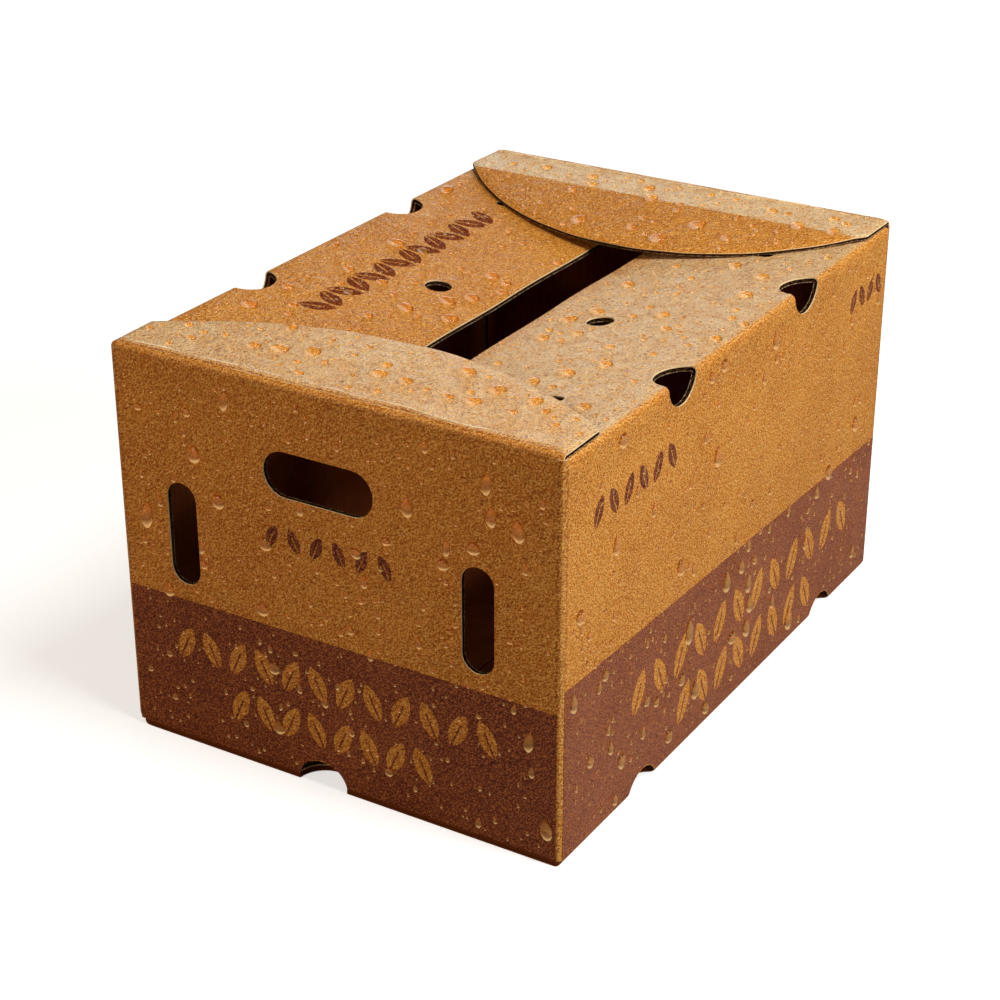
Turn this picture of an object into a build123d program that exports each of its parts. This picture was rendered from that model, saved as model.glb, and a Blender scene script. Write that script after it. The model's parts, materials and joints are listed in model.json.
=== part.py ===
"""A waxed corrugated produce carton with half-moon end flaps and a printed band.

Millimetres. +Z is up, +Y runs from the near end to the far end and +X to the right side. The
origin is on the floor, under the middle of the carton.
"""

import os
from collections import namedtuple
from math import asin, atan2, cos, sin, sqrt, tan

from build123d import *

# The carton over its board
carton_length = 572.0
carton_width = 400.0
carton_height = 338.0
board = 4.5
fold_radius = 3.0
layer_clearance = 1.0

# Side flaps, which lie under the end flaps and sag towards the gap between them
side_flap_gap = 45.0
side_flap_sag = 20.0
side_flap_end_clearance = 2.0

# End flaps, each with straight sides and then an arc; the far one is creased
end_flap_side = 50.0
end_flap_side_clearance = 1.5
near_flap_reach = 116.0
far_flap_reach = 146.0
far_flap_crease = 59.0
hinge_clearance = 0.2

# Bottom: the side flaps meet outside, over the end flaps
bottom_seam = 1.5
bottom_end_flap_reach = 135.0
bottom_corner_radius = 13.0

# The glued lap inside the corner where the blank's two ends meet
glue_lap_width = 35.0
glue_lap_margin = 14.0

# Hand slot in each end, and the vents on both sides of the near one
hand_slot_length = 99.0
hand_slot_height = 38.0
hand_slot_level = 264.0
hand_slot_offset = -9.0
vent_length = 88.0
vent_width = 28.0
vent_level = 189.0
vent_spacing = 268.0
vent_offset = -4.5

# Round holes that straddle the top folds, and notches along the bottom folds
fold_hole_diameter = 46.0
fold_hole_spacing = 220.0
end_notch_width = 45.0
end_notch_height = 22.0
end_notch_offset = -14.0
side_notch_width = 46.0
side_notch_height = 16.0
side_notch_spacing = 338.0
side_notch_offset = 13.0

# Holes in the side flaps
finger_hole_diameter = 23.0
finger_hole_from_fold = 124.0
finger_hole_offset = 14.0
lock_slot_length = 24.0
lock_slot_width = 10.0
lock_slot_from_fold = 75.0
lock_slot_from_end = 107.0

# Print: a dark band round the foot of the walls, and borders of leaves
ink = 0.12
print_margin = 0.8
end_band_top = 131.0
side_band_near_top = 149.0
side_band_far_top = 131.0
leaf_lean = 24.0
leaf_slimness = 0.46
vein_share = 0.05

# Leaves in the band of an end, and in the small border above it
end_leaf_height = 33.0
end_upper_row_count = 12
end_upper_row_pitch = 25.5
end_upper_row_offset = -3.0
end_upper_row_level = 91.0
end_lower_row_count = 8
end_lower_row_pitch = 24.5
end_lower_row_offset = -6.0
end_lower_row_level = 49.0
end_small_leaf_height = 22.0
end_small_row_count = 6
end_small_row_pitch = 20.5
end_small_row_offset = -2.0
end_small_row_level = 210.0

# Leaves in the band of a side, and in the small borders near its two top corners
side_leaf_height = 40.0
side_upper_row_count = 12
side_upper_row_pitch = 35.0
side_upper_row_offset = 26.0
side_upper_row_level = 84.0
side_lower_row_count = 8
side_lower_row_pitch = 33.5
side_lower_row_offset = 29.0
side_lower_row_level = 38.0
near_border_leaf_height = 26.0
near_border_count = 6
near_border_pitch = 22.5
near_border_offset = -180.0
near_border_level = 274.0
far_border_leaf_height = 23.0
far_border_count = 4
far_border_pitch = 18.0
far_border_offset = 239.0
far_border_level = 285.0

# Leaves on the left side flap
flap_leaf_height = 32.0
flap_row_count = 14
flap_row_pitch = 19.5
flap_row_offset = -11.0
flap_row_from_fold = 73.0

# Sizes that follow from the ones above
half_length = carton_length / 2
half_width = carton_width / 2
through = board + layer_clearance
bottom_thickness = 2 * board
side_top = carton_height - board - layer_clearance
end_wall_top = carton_height - board - hinge_clearance
side_flap_run = half_width - side_flap_gap / 2
side_flap_angle = atan2(side_flap_sag, side_flap_run)
side_flap_length = carton_length - 2 * (board + side_flap_end_clearance)
end_flap_half_width = half_width - end_flap_side_clearance
side_band_slope = (side_band_far_top - side_band_near_top) / carton_length

# A row of leaves: how many, how far apart, how tall, and where its middle is on the board
LeafRow = namedtuple("LeafRow", "count pitch height x y")
end_band_rows = [
    LeafRow(
        end_upper_row_count,
        end_upper_row_pitch,
        end_leaf_height,
        end_upper_row_offset,
        end_upper_row_level,
    ),
    LeafRow(
        end_lower_row_count,
        end_lower_row_pitch,
        end_leaf_height,
        end_lower_row_offset,
        end_lower_row_level,
    ),
]
end_wall_rows = [
    LeafRow(
        end_small_row_count,
        end_small_row_pitch,
        end_small_leaf_height,
        end_small_row_offset,
        end_small_row_level,
    ),
]
side_band_rows = [
    LeafRow(
        side_upper_row_count,
        side_upper_row_pitch,
        side_leaf_height,
        side_upper_row_offset,
        side_upper_row_level,
    ),
    LeafRow(
        side_lower_row_count,
        side_lower_row_pitch,
        side_leaf_height,
        side_lower_row_offset,
        side_lower_row_level,
    ),
]
side_wall_rows = [
    LeafRow(
        near_border_count,
        near_border_pitch,
        near_border_leaf_height,
        near_border_offset,
        near_border_level,
    ),
    LeafRow(
        far_border_count,
        far_border_pitch,
        far_border_leaf_height,
        far_border_offset,
        far_border_level,
    ),
]
side_flap_rows = [
    LeafRow(
        flap_row_count,
        flap_row_pitch,
        flap_leaf_height,
        flap_row_offset,
        flap_row_from_fold,
    ),
]

# The outside of each wall, with y up the wall, and of each side flap, with y in from its fold
near_face = Plane(origin=(0, -half_length, 0), x_dir=(1, 0, 0), z_dir=(0, -1, 0))
far_face = Plane(origin=(0, half_length, 0), x_dir=(-1, 0, 0), z_dir=(0, 1, 0))
right_face = Plane(origin=(half_width, 0, 0), x_dir=(0, 1, 0), z_dir=(1, 0, 0))
left_face = Plane(origin=(-half_width, 0, 0), x_dir=(0, -1, 0), z_dir=(-1, 0, 0))
right_flap_face = Plane(
    origin=(half_width, 0, side_top),
    x_dir=(0, 1, 0),
    z_dir=(-sin(side_flap_angle), 0, cos(side_flap_angle)),
)
left_flap_face = Plane(
    origin=(-half_width, 0, side_top),
    x_dir=(0, -1, 0),
    z_dir=(sin(side_flap_angle), 0, cos(side_flap_angle)),
)


def arc_radius(chord, rise):
    """Radius of the arc that stands rise above its chord."""
    return ((chord / 2) ** 2 + rise**2) / (2 * rise)


def resting_angle(reach, crease):
    """The tilt at which the tab past the crease lies on the sagging side flaps, just clear."""
    rise = reach - end_flap_side
    radius = arc_radius(2 * end_flap_half_width, rise)
    angles = []
    for share in (0.1, 0.2, 0.3, 0.4, 0.5, 0.6, 0.7, 0.8, 0.9):
        offset = share * half_width
        tab = reach - radius + sqrt(radius**2 - offset**2) - crease
        room = layer_clearance / 2 + (half_width - offset) * side_flap_sag / side_flap_run
        if tab > room:
            angles.append(asin(room / tab))
    return min(angles)


def cut_through():
    """Cut the sketch just drawn on a face through its board."""
    extrude(amount=through, both=True, mode=Mode.SUBTRACT)


def corner_waste(radius, margin=0.0):
    """What a rounded corner takes away from a square one at the origin, and the room outside."""
    with BuildSketch() as waste:
        Rectangle(2 * radius, 2 * radius)
        with Locations((radius, radius)):
            Circle(radius - margin, mode=Mode.SUBTRACT)
    return waste.sketch


def end_flap_outline(reach):
    """Plan of an end flap, its fold along X through the origin and its arc towards +Y."""
    left_end = (-end_flap_half_width, end_flap_side)
    right_end = (end_flap_half_width, end_flap_side)
    with BuildSketch() as outline:
        with BuildLine():
            Polyline(left_end, (-end_flap_half_width, 0), (end_flap_half_width, 0), right_end)
            ThreePointArc(right_end, (0, reach), left_end)
        make_face()
        fillet(outline.vertices().group_by(Axis.Y)[0], radius=fold_radius)
    return outline.sketch


def leaf(height):
    """A pointed leaf, upright on the origin, split from its foot by a narrow vein."""
    half_breadth = leaf_slimness * height / 2
    with BuildSketch() as outline:
        with BuildLine():
            ThreePointArc((0, -height / 2), (half_breadth, 0), (0, height / 2))
            ThreePointArc((0, height / 2), (-half_breadth, 0), (0, -height / 2))
        make_face()
        with Locations((0, -height / 5)):
            Rectangle(vein_share * height, 0.8 * height, mode=Mode.SUBTRACT)
    return outline.sketch


def leaf_border(rows, slope=0.0):
    """Rows of leaves that lean to and fro, each row climbing along X by the slope."""
    with BuildSketch() as border:
        for row in rows:
            shape = leaf(row.height)
            for number in range(row.count):
                along = (number - (row.count - 1) / 2) * row.pitch
                lean = leaf_lean if number % 2 else -leaf_lean
                with Locations(Location((row.x + along, row.y + slope * along), lean)):
                    add(shape)
    return border.sketch


# Arcs of the notches: radius, and how far the centre lies outside the fold
end_notch_radius = arc_radius(end_notch_width, end_notch_height)
side_notch_radius = arc_radius(side_notch_width, side_notch_height)
end_notch_out = end_notch_radius - end_notch_height
side_notch_out = side_notch_radius - side_notch_height
side_notch_places = (
    side_notch_offset - side_notch_spacing / 2,
    side_notch_offset + side_notch_spacing / 2,
)
square_corner = corner_waste(bottom_corner_radius)
fold_waste = corner_waste(fold_radius)

# The folded blank: walls, side flaps, bottom and glued lap in one sheet
with BuildPart() as carton_body:
    # Side wall with its outer bottom flap
    with BuildSketch(Plane.XZ) as wall_section:
        with BuildLine():
            Polyline(
                (bottom_seam / 2, 0),
                (half_width, 0),
                (half_width, side_top),
                (half_width - board, side_top - board * tan(side_flap_angle)),
                (half_width - board, board),
                (bottom_seam / 2, board),
                close=True,
            )
        make_face()
        fillet(wall_section.vertices().group_by(Axis.X)[-1], radius=fold_radius)
    extrude(amount=half_length, both=True)

    # Side flap, sagging towards the middle
    with BuildSketch(Plane.XZ) as flap_section:
        with BuildLine():
            Polyline(
                (half_width, side_top),
                (side_flap_gap / 2, side_top - side_flap_sag),
                (
                    side_flap_gap / 2 + board * sin(side_flap_angle),
                    side_top - side_flap_sag - board * cos(side_flap_angle),
                ),
                (half_width, side_top - board / cos(side_flap_angle)),
                close=True,
            )
        make_face()
        fillet(flap_section.vertices().sort_by(Axis.Y)[-1], radius=fold_radius)
    extrude(amount=side_flap_length / 2, both=True)
    mirror(about=Plane.YZ)

    # End wall with its inner bottom flap
    with BuildSketch(Plane.YZ) as end_wall_section:
        with Locations((-half_length, board)):
            Rectangle(board, end_wall_top - board, align=(Align.MIN, Align.MIN))
        fillet(
            end_wall_section.vertices().group_by(Axis.Y)[0].sort_by(Axis.X)[0],
            radius=fold_radius,
        )
    extrude(amount=half_width, both=True)
    with BuildSketch(Plane.XY.offset(board)):
        with Locations((0, -half_length + board)):
            Rectangle(
                carton_width - 2 * (board + layer_clearance),
                bottom_end_flap_reach - board,
                align=(Align.CENTER, Align.MIN),
            )
    extrude(amount=board)
    mirror(about=Plane.XZ)

    # Glued lap inside the far left corner
    lap_foot = bottom_thickness + glue_lap_margin
    lap_top = side_top - side_flap_sag - glue_lap_margin
    with BuildSketch(left_face.offset(-board)):
        with Locations((-half_length + board, lap_foot)):
            Rectangle(glue_lap_width, lap_top - lap_foot, align=(Align.MIN, Align.MIN))
    extrude(amount=-board)

    # Upright folds
    with BuildSketch():
        with Locations(
            Location((-half_width, -half_length), 0),
            Location((half_width, -half_length), 90),
            Location((half_width, half_length), 180),
            Location((-half_width, half_length), 270),
        ):
            add(fold_waste)
    extrude(amount=carton_height, mode=Mode.SUBTRACT)

    # Hand slot, bottom notch and rounded corner in each end
    for face in (near_face, far_face):
        with BuildSketch(face):
            with Locations((hand_slot_offset, hand_slot_level)):
                SlotOverall(hand_slot_length, hand_slot_height)
            with Locations((end_notch_offset, -end_notch_out)):
                Circle(end_notch_radius)
            with Locations((-half_width, 0)):
                add(square_corner)
        cut_through()

    # Vents in the near end
    with BuildSketch(near_face):
        with Locations(
            (vent_offset - vent_spacing / 2, vent_level),
            (vent_offset + vent_spacing / 2, vent_level),
        ):
            SlotOverall(vent_length, vent_width, rotation=90)
    cut_through()

    # Fold holes, bottom notches and rounded corner in each side
    for face in (right_face, left_face):
        with BuildSketch(face):
            with Locations((-fold_hole_spacing / 2, side_top), (fold_hole_spacing / 2, side_top)):
                Circle(fold_hole_diameter / 2)
            for place in side_notch_places:
                with Locations((place, -side_notch_out)):
                    Circle(side_notch_radius)
            with Locations(Location((half_length, 0), 90)):
                add(square_corner)
        cut_through()

    # The same notches and corners through both layers of the bottom
    with BuildSketch():
        for hand in (-1, 1):
            with Locations((-hand * end_notch_offset, hand * (half_length + end_notch_out))):
                Circle(end_notch_radius)
            for place in side_notch_places:
                with Locations((hand * (half_width + side_notch_out), hand * place)):
                    Circle(side_notch_radius)
            turn = 180 if hand > 0 else 0
            with Locations(Location((hand * half_width, hand * half_length), turn)):
                add(square_corner)
    extrude(amount=bottom_thickness + layer_clearance, mode=Mode.SUBTRACT)

    # Fold holes, finger hole and lock slots in each side flap
    lock_slot_place = half_length - lock_slot_from_end
    for face, hand in ((right_flap_face, -1), (left_flap_face, 1)):
        with BuildSketch(face):
            with Locations((-fold_hole_spacing / 2, 0), (fold_hole_spacing / 2, 0)):
                Circle(fold_hole_diameter / 2)
            with Locations((hand * finger_hole_offset, finger_hole_from_fold)):
                Circle(finger_hole_diameter / 2)
            with Locations(
                (-lock_slot_place, lock_slot_from_fold),
                (lock_slot_place, lock_slot_from_fold),
            ):
                SlotOverall(lock_slot_length, lock_slot_width, rotation=90)
        cut_through()

# Near end flap, flat on top of the side flaps
near_outline = end_flap_outline(near_flap_reach)
near_fold = Plane(origin=(0, -half_length, 0), x_dir=(1, 0, 0), z_dir=(0, 0, 1))
with BuildPart() as near_end_flap:
    with BuildSketch(Plane.YZ) as near_section:
        with Locations((-half_length, carton_height - board)):
            Rectangle(near_flap_reach, board, align=(Align.MIN, Align.MIN))
        outer_fold = near_section.vertices().group_by(Axis.Y)[-1].sort_by(Axis.X)[0]
        fillet(outer_fold, radius=fold_radius)
    extrude(amount=half_width, both=True)
    with BuildSketch(near_fold):
        add(near_outline)
    extrude(amount=carton_height, mode=Mode.INTERSECT)

# Far end flap, creased so that its tab leans on the side flaps
tab_angle = resting_angle(far_flap_reach, far_flap_crease)
tab_length = far_flap_reach - far_flap_crease
crease_y = half_length - far_flap_crease
tab_end_y = crease_y - tab_length * cos(tab_angle)
tab_end_z = carton_height - tab_length * sin(tab_angle)
far_outline = end_flap_outline(half_length - tab_end_y)
far_fold = Plane(origin=(0, half_length, 0), x_dir=(-1, 0, 0), z_dir=(0, 0, 1))
with BuildPart() as far_end_flap:
    with BuildSketch(Plane.YZ) as far_section:
        with BuildLine():
            Polyline(
                (half_length, carton_height),
                (crease_y, carton_height),
                (tab_end_y, tab_end_z),
                (tab_end_y + board * sin(tab_angle), tab_end_z - board * cos(tab_angle)),
                (crease_y + board * tan(tab_angle / 2), carton_height - board),
                (half_length, carton_height - board),
                close=True,
            )
        make_face()
        outer_fold = far_section.vertices().group_by(Axis.Y)[-1].sort_by(Axis.X)[-1]
        fillet(outer_fold, radius=fold_radius)
    extrude(amount=half_width, both=True)
    with BuildSketch(far_fold):
        add(far_outline)
    extrude(amount=carton_height, mode=Mode.INTERSECT)

# Print on an end: the band with its leaves, notch and corner left bare, and a small border
inked_end = half_width - fold_radius - print_margin
end_foot = board + print_margin
end_band_leaves = leaf_border(end_band_rows)
end_wall_leaves = leaf_border(end_wall_rows)
bare_corner = corner_waste(bottom_corner_radius, print_margin)


def print_end(face):
    """Lay the print of one end on its face."""
    with BuildSketch(face) as field:
        with BuildLine():
            Polyline(
                (-inked_end, end_foot),
                (inked_end, end_foot),
                (inked_end, end_band_top),
                (-inked_end, end_band_top),
                close=True,
            )
        make_face()
        with Locations((end_notch_offset, -end_notch_out)):
            Circle(end_notch_radius + print_margin, mode=Mode.SUBTRACT)
        with Locations((-half_width, 0)):
            add(bare_corner, mode=Mode.SUBTRACT)
        add(end_band_leaves, mode=Mode.SUBTRACT)
        add(end_wall_leaves)
    extrude(field.sketch, amount=ink)


with BuildPart() as near_end_print:
    print_end(near_face)

with BuildPart() as far_end_print:
    print_end(far_face)

# Print on a side: the band slopes, and its leaves climb with it
inked_side = half_length - fold_radius - print_margin
side_foot = fold_radius + print_margin
side_band_leaves = leaf_border(side_band_rows, side_band_slope)
side_wall_leaves = leaf_border(side_wall_rows)


def print_side(face):
    """Lay the print of one side on its face."""
    with BuildSketch(face) as field:
        with BuildLine():
            Polyline(
                (-inked_side, side_foot),
                (inked_side, side_foot),
                (inked_side, side_band_far_top),
                (-inked_side, side_band_near_top),
                close=True,
            )
        make_face()
        for place in side_notch_places:
            with Locations((place, -side_notch_out)):
                Circle(side_notch_radius + print_margin, mode=Mode.SUBTRACT)
        with Locations(Location((half_length, 0), 90)):
            add(bare_corner, mode=Mode.SUBTRACT)
        add(side_band_leaves, mode=Mode.SUBTRACT)
        add(side_wall_leaves)
    extrude(field.sketch, amount=ink)


with BuildPart() as right_side_print:
    print_side(right_face)

with BuildPart() as left_side_print:
    print_side(left_face)

# Print on the left side flap: one border of leaves
side_flap_leaves = leaf_border(side_flap_rows)
with BuildPart() as left_flap_print:
    with BuildSketch(left_flap_face):
        add(side_flap_leaves)
    extrude(amount=ink)

carton_body.part.label = "carton_body"
near_end_flap.part.label = "near_end_flap"
far_end_flap.part.label = "far_end_flap"
near_end_print.part.label = "near_end_print"
far_end_print.part.label = "far_end_print"
right_side_print.part.label = "right_side_print"
left_side_print.part.label = "left_side_print"
left_flap_print.part.label = "left_flap_print"

os.makedirs("parts", exist_ok=True)
export_step(carton_body.part, "parts/carton_body.step")
export_step(near_end_flap.part, "parts/near_end_flap.step")
export_step(far_end_flap.part, "parts/far_end_flap.step")
export_step(near_end_print.part, "parts/near_end_print.step")
export_step(far_end_print.part, "parts/far_end_print.step")
export_step(right_side_print.part, "parts/right_side_print.step")
export_step(left_side_print.part, "parts/left_side_print.step")
export_step(left_flap_print.part, "parts/left_flap_print.step")
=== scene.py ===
"""Looks of a waxed corrugated produce carton: folded board, print and water on it.

The frame is in metres, +Z up, +Y along the carton from its near end to its far end, +X to its
right side, with the floor at zero.
"""

import json
import logging
import math
import random
from contextlib import contextmanager
from dataclasses import dataclass, field
from enum import Enum
from typing import Callable, Iterable, Iterator, Sequence

import bpy
from mathutils import Matrix, Vector, noise

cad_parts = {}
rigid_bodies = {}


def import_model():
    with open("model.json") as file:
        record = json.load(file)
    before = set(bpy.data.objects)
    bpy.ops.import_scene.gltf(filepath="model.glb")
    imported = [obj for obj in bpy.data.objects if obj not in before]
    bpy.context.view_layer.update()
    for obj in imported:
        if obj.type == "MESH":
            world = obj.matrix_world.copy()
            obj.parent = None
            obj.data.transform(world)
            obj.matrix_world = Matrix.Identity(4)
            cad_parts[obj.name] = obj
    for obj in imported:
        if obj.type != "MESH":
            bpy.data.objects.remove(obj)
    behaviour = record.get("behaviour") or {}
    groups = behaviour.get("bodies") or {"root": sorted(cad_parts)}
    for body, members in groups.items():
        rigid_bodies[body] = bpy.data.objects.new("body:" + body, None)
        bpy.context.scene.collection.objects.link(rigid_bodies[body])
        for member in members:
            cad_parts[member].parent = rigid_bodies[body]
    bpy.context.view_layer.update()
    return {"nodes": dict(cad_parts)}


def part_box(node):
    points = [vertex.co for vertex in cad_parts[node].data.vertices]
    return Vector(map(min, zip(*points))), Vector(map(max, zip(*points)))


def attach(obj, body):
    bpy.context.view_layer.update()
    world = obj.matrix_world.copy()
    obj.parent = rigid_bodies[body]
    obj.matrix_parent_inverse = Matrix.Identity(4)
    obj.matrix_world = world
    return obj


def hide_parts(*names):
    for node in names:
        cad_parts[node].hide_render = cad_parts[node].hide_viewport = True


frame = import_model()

MM = 0.001
ROUNDING = 0.001 * MM
HAIRLINE = 0.01 * MM
NOTCH_CORNERS = 56
DRAPE_START = 105 * MM
DRAPE_HEIGHT = 4.5 * MM
LOG = logging.getLogger("carton")

Point = tuple[float, float, float]
Colour = tuple[float, float, float]
Corner = tuple[float, float]
Outline = list[Corner]
Piece = bpy.types.Object
Material = bpy.types.Material
Socket = bpy.types.NodeSocket
Value = float | Socket
Tint = Colour | Socket


class Side(Enum):
    """The two ways across or along the carton."""

    MINUS = -1
    PLUS = 1


class Panel(Enum):
    """The walls of the blank, in the order in which its wall strip runs."""

    LEFT = 0
    NEAR = 1
    RIGHT = 2
    FAR = 3
    LAP = 4


SIDE_WALLS = (Panel.LEFT, Panel.RIGHT)
END_WALLS = (Panel.NEAR, Panel.FAR)


class BoardFace(Enum):
    """Material slots of a board piece."""

    OUTER = 0
    INNER = 1
    CUT = 2


# Selecting and shaping, as by hand


def deselect() -> None:
    """Leave nothing selected."""
    for other in bpy.context.view_layer.objects:
        other.select_set(False)


def only(piece: Piece) -> None:
    """Select one piece alone and make it active.

    Args:
        piece: the piece to select.
    """
    deselect()
    piece.select_set(True)
    bpy.context.view_layer.objects.active = piece


@contextmanager
def editing() -> Iterator[None]:
    """Work in edit mode on the active piece, all of it selected.

    Returns:
        An iterator that stops once, while the work is done.
    """
    bpy.ops.object.mode_set(mode="EDIT")
    bpy.ops.mesh.select_all(action="SELECT")
    yield
    bpy.ops.object.mode_set(mode="OBJECT")


def apply_modifier(piece: Piece, kind: str, **settings: object) -> None:
    """Add one modifier to a piece and apply it.

    Args:
        piece: the piece that takes the modifier.
        kind: Blender's name of the modifier's type.
        settings: the modifier's own settings.
    """
    only(piece)
    modifier = piece.modifiers.new(kind.lower(), kind)
    for name, value in settings.items():
        setattr(modifier, name, value)
    bpy.ops.object.modifier_apply(modifier=modifier.name)


def join(pieces: Sequence[Piece], name: str) -> Piece:
    """Join pieces into the first one.

    Args:
        pieces: the pieces, whose first one stays.
        name: the name of the joined piece.

    Returns:
        The joined piece.
    """
    only(pieces[0])
    for piece in pieces:
        piece.select_set(True)
    if len(pieces) > 1:
        bpy.ops.object.join()
    pieces[0].name = name
    pieces[0].data.name = name
    return pieces[0]


def prism(outline: Sequence[Corner], low: float, high: float) -> Piece:
    """Make an upright prism from a closed outline, drawn counterclockwise.

    Args:
        outline: the corners in the plane of the sheet, in metres.
        low: the level of its foot.
        high: the level of its head.

    Returns:
        The prism.
    """
    deselect()
    bpy.ops.mesh.primitive_circle_add(vertices=len(outline), fill_type="NGON")
    piece = bpy.context.active_object
    for vertex, (x, y) in zip(piece.data.vertices, outline):
        vertex.co = (x, y, low)
    with editing():
        bpy.ops.mesh.extrude_region_move(TRANSFORM_OT_translate={"value": (0, 0, high - low)})
        bpy.ops.mesh.select_all(action="SELECT")
        bpy.ops.mesh.normals_make_consistent(inside=False)
    return piece


def ellipse(x: float, y: float, width: float, height: float, corners: int = 40) -> Outline:
    """Corners of an ellipse.

    Args:
        x: its middle across.
        y: its middle up.
        width: its full width.
        height: its full height.
        corners: how many corners it has.

    Returns:
        The corners, counterclockwise.
    """
    turns = (math.tau * step / corners for step in range(corners))
    return [(x + width / 2 * math.cos(turn), y + height / 2 * math.sin(turn)) for turn in turns]


def slot(x: float, y: float, length: float, width: float, upright: bool) -> Outline:
    """Corners of a slot with round ends.

    Args:
        x: its middle across.
        y: its middle up.
        length: its length from end to end.
        width: its width.
        upright: whether its length runs up the sheet.

    Returns:
        The corners, counterclockwise.
    """
    steps = 12
    reach = (length - width) / 2
    corners = []
    for end in (1, -1):
        for step in range(steps + 1):
            turn = math.pi * step / steps - math.pi / 2 + (0 if end > 0 else math.pi)
            along = end * reach + width / 2 * math.cos(turn)
            across = width / 2 * math.sin(turn)
            corners.append((x - across, y + along) if upright else (x + along, y + across))
    return corners


def arc_radius(half_chord: float, rise: float) -> float:
    """Radius of the arc that rises so high over its chord."""
    return (half_chord**2 + rise**2) / (2 * rise)


def notch(x: float, size: tuple[float, float]) -> Outline:
    """Corners of the circle that cuts a shallow notch into an edge at level zero.

    Args:
        x: the notch's middle.
        size: its width and height.

    Returns:
        The corners, counterclockwise.
    """
    width, height = size
    radius = arc_radius(width / 2, height)
    return ellipse(x, height - radius, 2 * radius, 2 * radius, NOTCH_CORNERS)


def spread(start: float, end: float, step: float) -> list[float]:
    """Evenly spaced values between two ends, both left out.

    Args:
        start: the first end.
        end: the last end.
        step: the widest spacing.

    Returns:
        The values between the ends.
    """
    count = max(1, math.ceil((end - start) / step))
    return [start + (end - start) * number / count for number in range(1, count)]


# Sizes


@dataclass(frozen=True)
class BoardStock:
    """Corrugated board, as it comes from the mill."""

    thickness: float = 4.5 * MM
    flute_pitch: float = 7.4 * MM
    fold_radius: float = 4.6 * MM
    fold_steps: int = 5
    grid: float = 11 * MM


@dataclass(frozen=True)
class CartonPlan:
    """The carton's sizes, which are those of its solids."""

    length: float
    width: float
    height: float
    stock: BoardStock = BoardStock()
    side_top: float = 332.5 * MM
    end_wall_top: float = 333.3 * MM
    flap_seat: float = 333.5 * MM
    side_flap_gap: float = 45 * MM
    side_flap_sag: float = 20 * MM
    bottom_reach: float = 135 * MM
    bottom_seam: float = 1.5 * MM
    lap_width: float = 35 * MM
    lap_margin: float = 14 * MM
    foot_corner: float = 13 * MM
    slit: float = 0.3 * MM
    near_reach: float = 116 * MM
    far_reach: float = 146 * MM
    far_crease: float = 59 * MM

    @property
    def lap_span(self) -> tuple[float, float]:
        """Levels of the glue lap's foot and head."""
        foot = self.lap_margin + 2 * self.stock.thickness
        return foot, self.side_top - self.side_flap_sag - self.lap_margin

    @property
    def sag_angle(self) -> float:
        """Slope of the side flaps."""
        return math.atan2(self.side_flap_sag, self.width / 2 - self.side_flap_gap / 2)

    @property
    def side_flap_reach(self) -> float:
        """Length of a side flap down its slope."""
        return (self.width / 2 - self.side_flap_gap / 2) / math.cos(self.sag_angle)


@dataclass(frozen=True)
class Fold:
    """A fold in a sheet that runs up a wall.

    Attributes:
        sharp: how far up the sheet the fold would be with no radius.
        turn: the angle that it turns, in radians.
        radius: its outer radius.
    """

    sharp: float
    turn: float
    radius: float

    @property
    def tangent(self) -> float:
        """From the sharp fold back to where its arc starts."""
        return self.radius * math.tan(self.turn / 2)

    @property
    def start(self) -> float:
        """Where the arc starts, up the sheet."""
        return self.sharp - self.tangent

    @property
    def end(self) -> float:
        """Where the arc ends, up the sheet."""
        return self.start + self.radius * self.turn

    def past(self, distance: float) -> float:
        """Place up the sheet of what lies a distance past the sharp fold."""
        return self.end + distance - self.tangent

    def bend(self, along: float, depth: float) -> tuple[float, float]:
        """Fold one point of the sheet.

        Args:
            along: how far up the flat sheet the point is.
            depth: how deep it is under the outer liner.

        Returns:
            How far in from the wall's outside it ends up, and how high.
        """
        if along <= self.start:
            return depth, along
        if along < self.end:
            angle = (along - self.start) / self.radius
            rest = self.radius - depth
            return self.radius - rest * math.cos(angle), self.start + rest * math.sin(angle)
        rest = self.radius - depth
        run = along - self.end
        inward = self.radius - rest * math.cos(self.turn) + run * math.sin(self.turn)
        level = self.start + rest * math.sin(self.turn) + run * math.cos(self.turn)
        return inward, level


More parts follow.
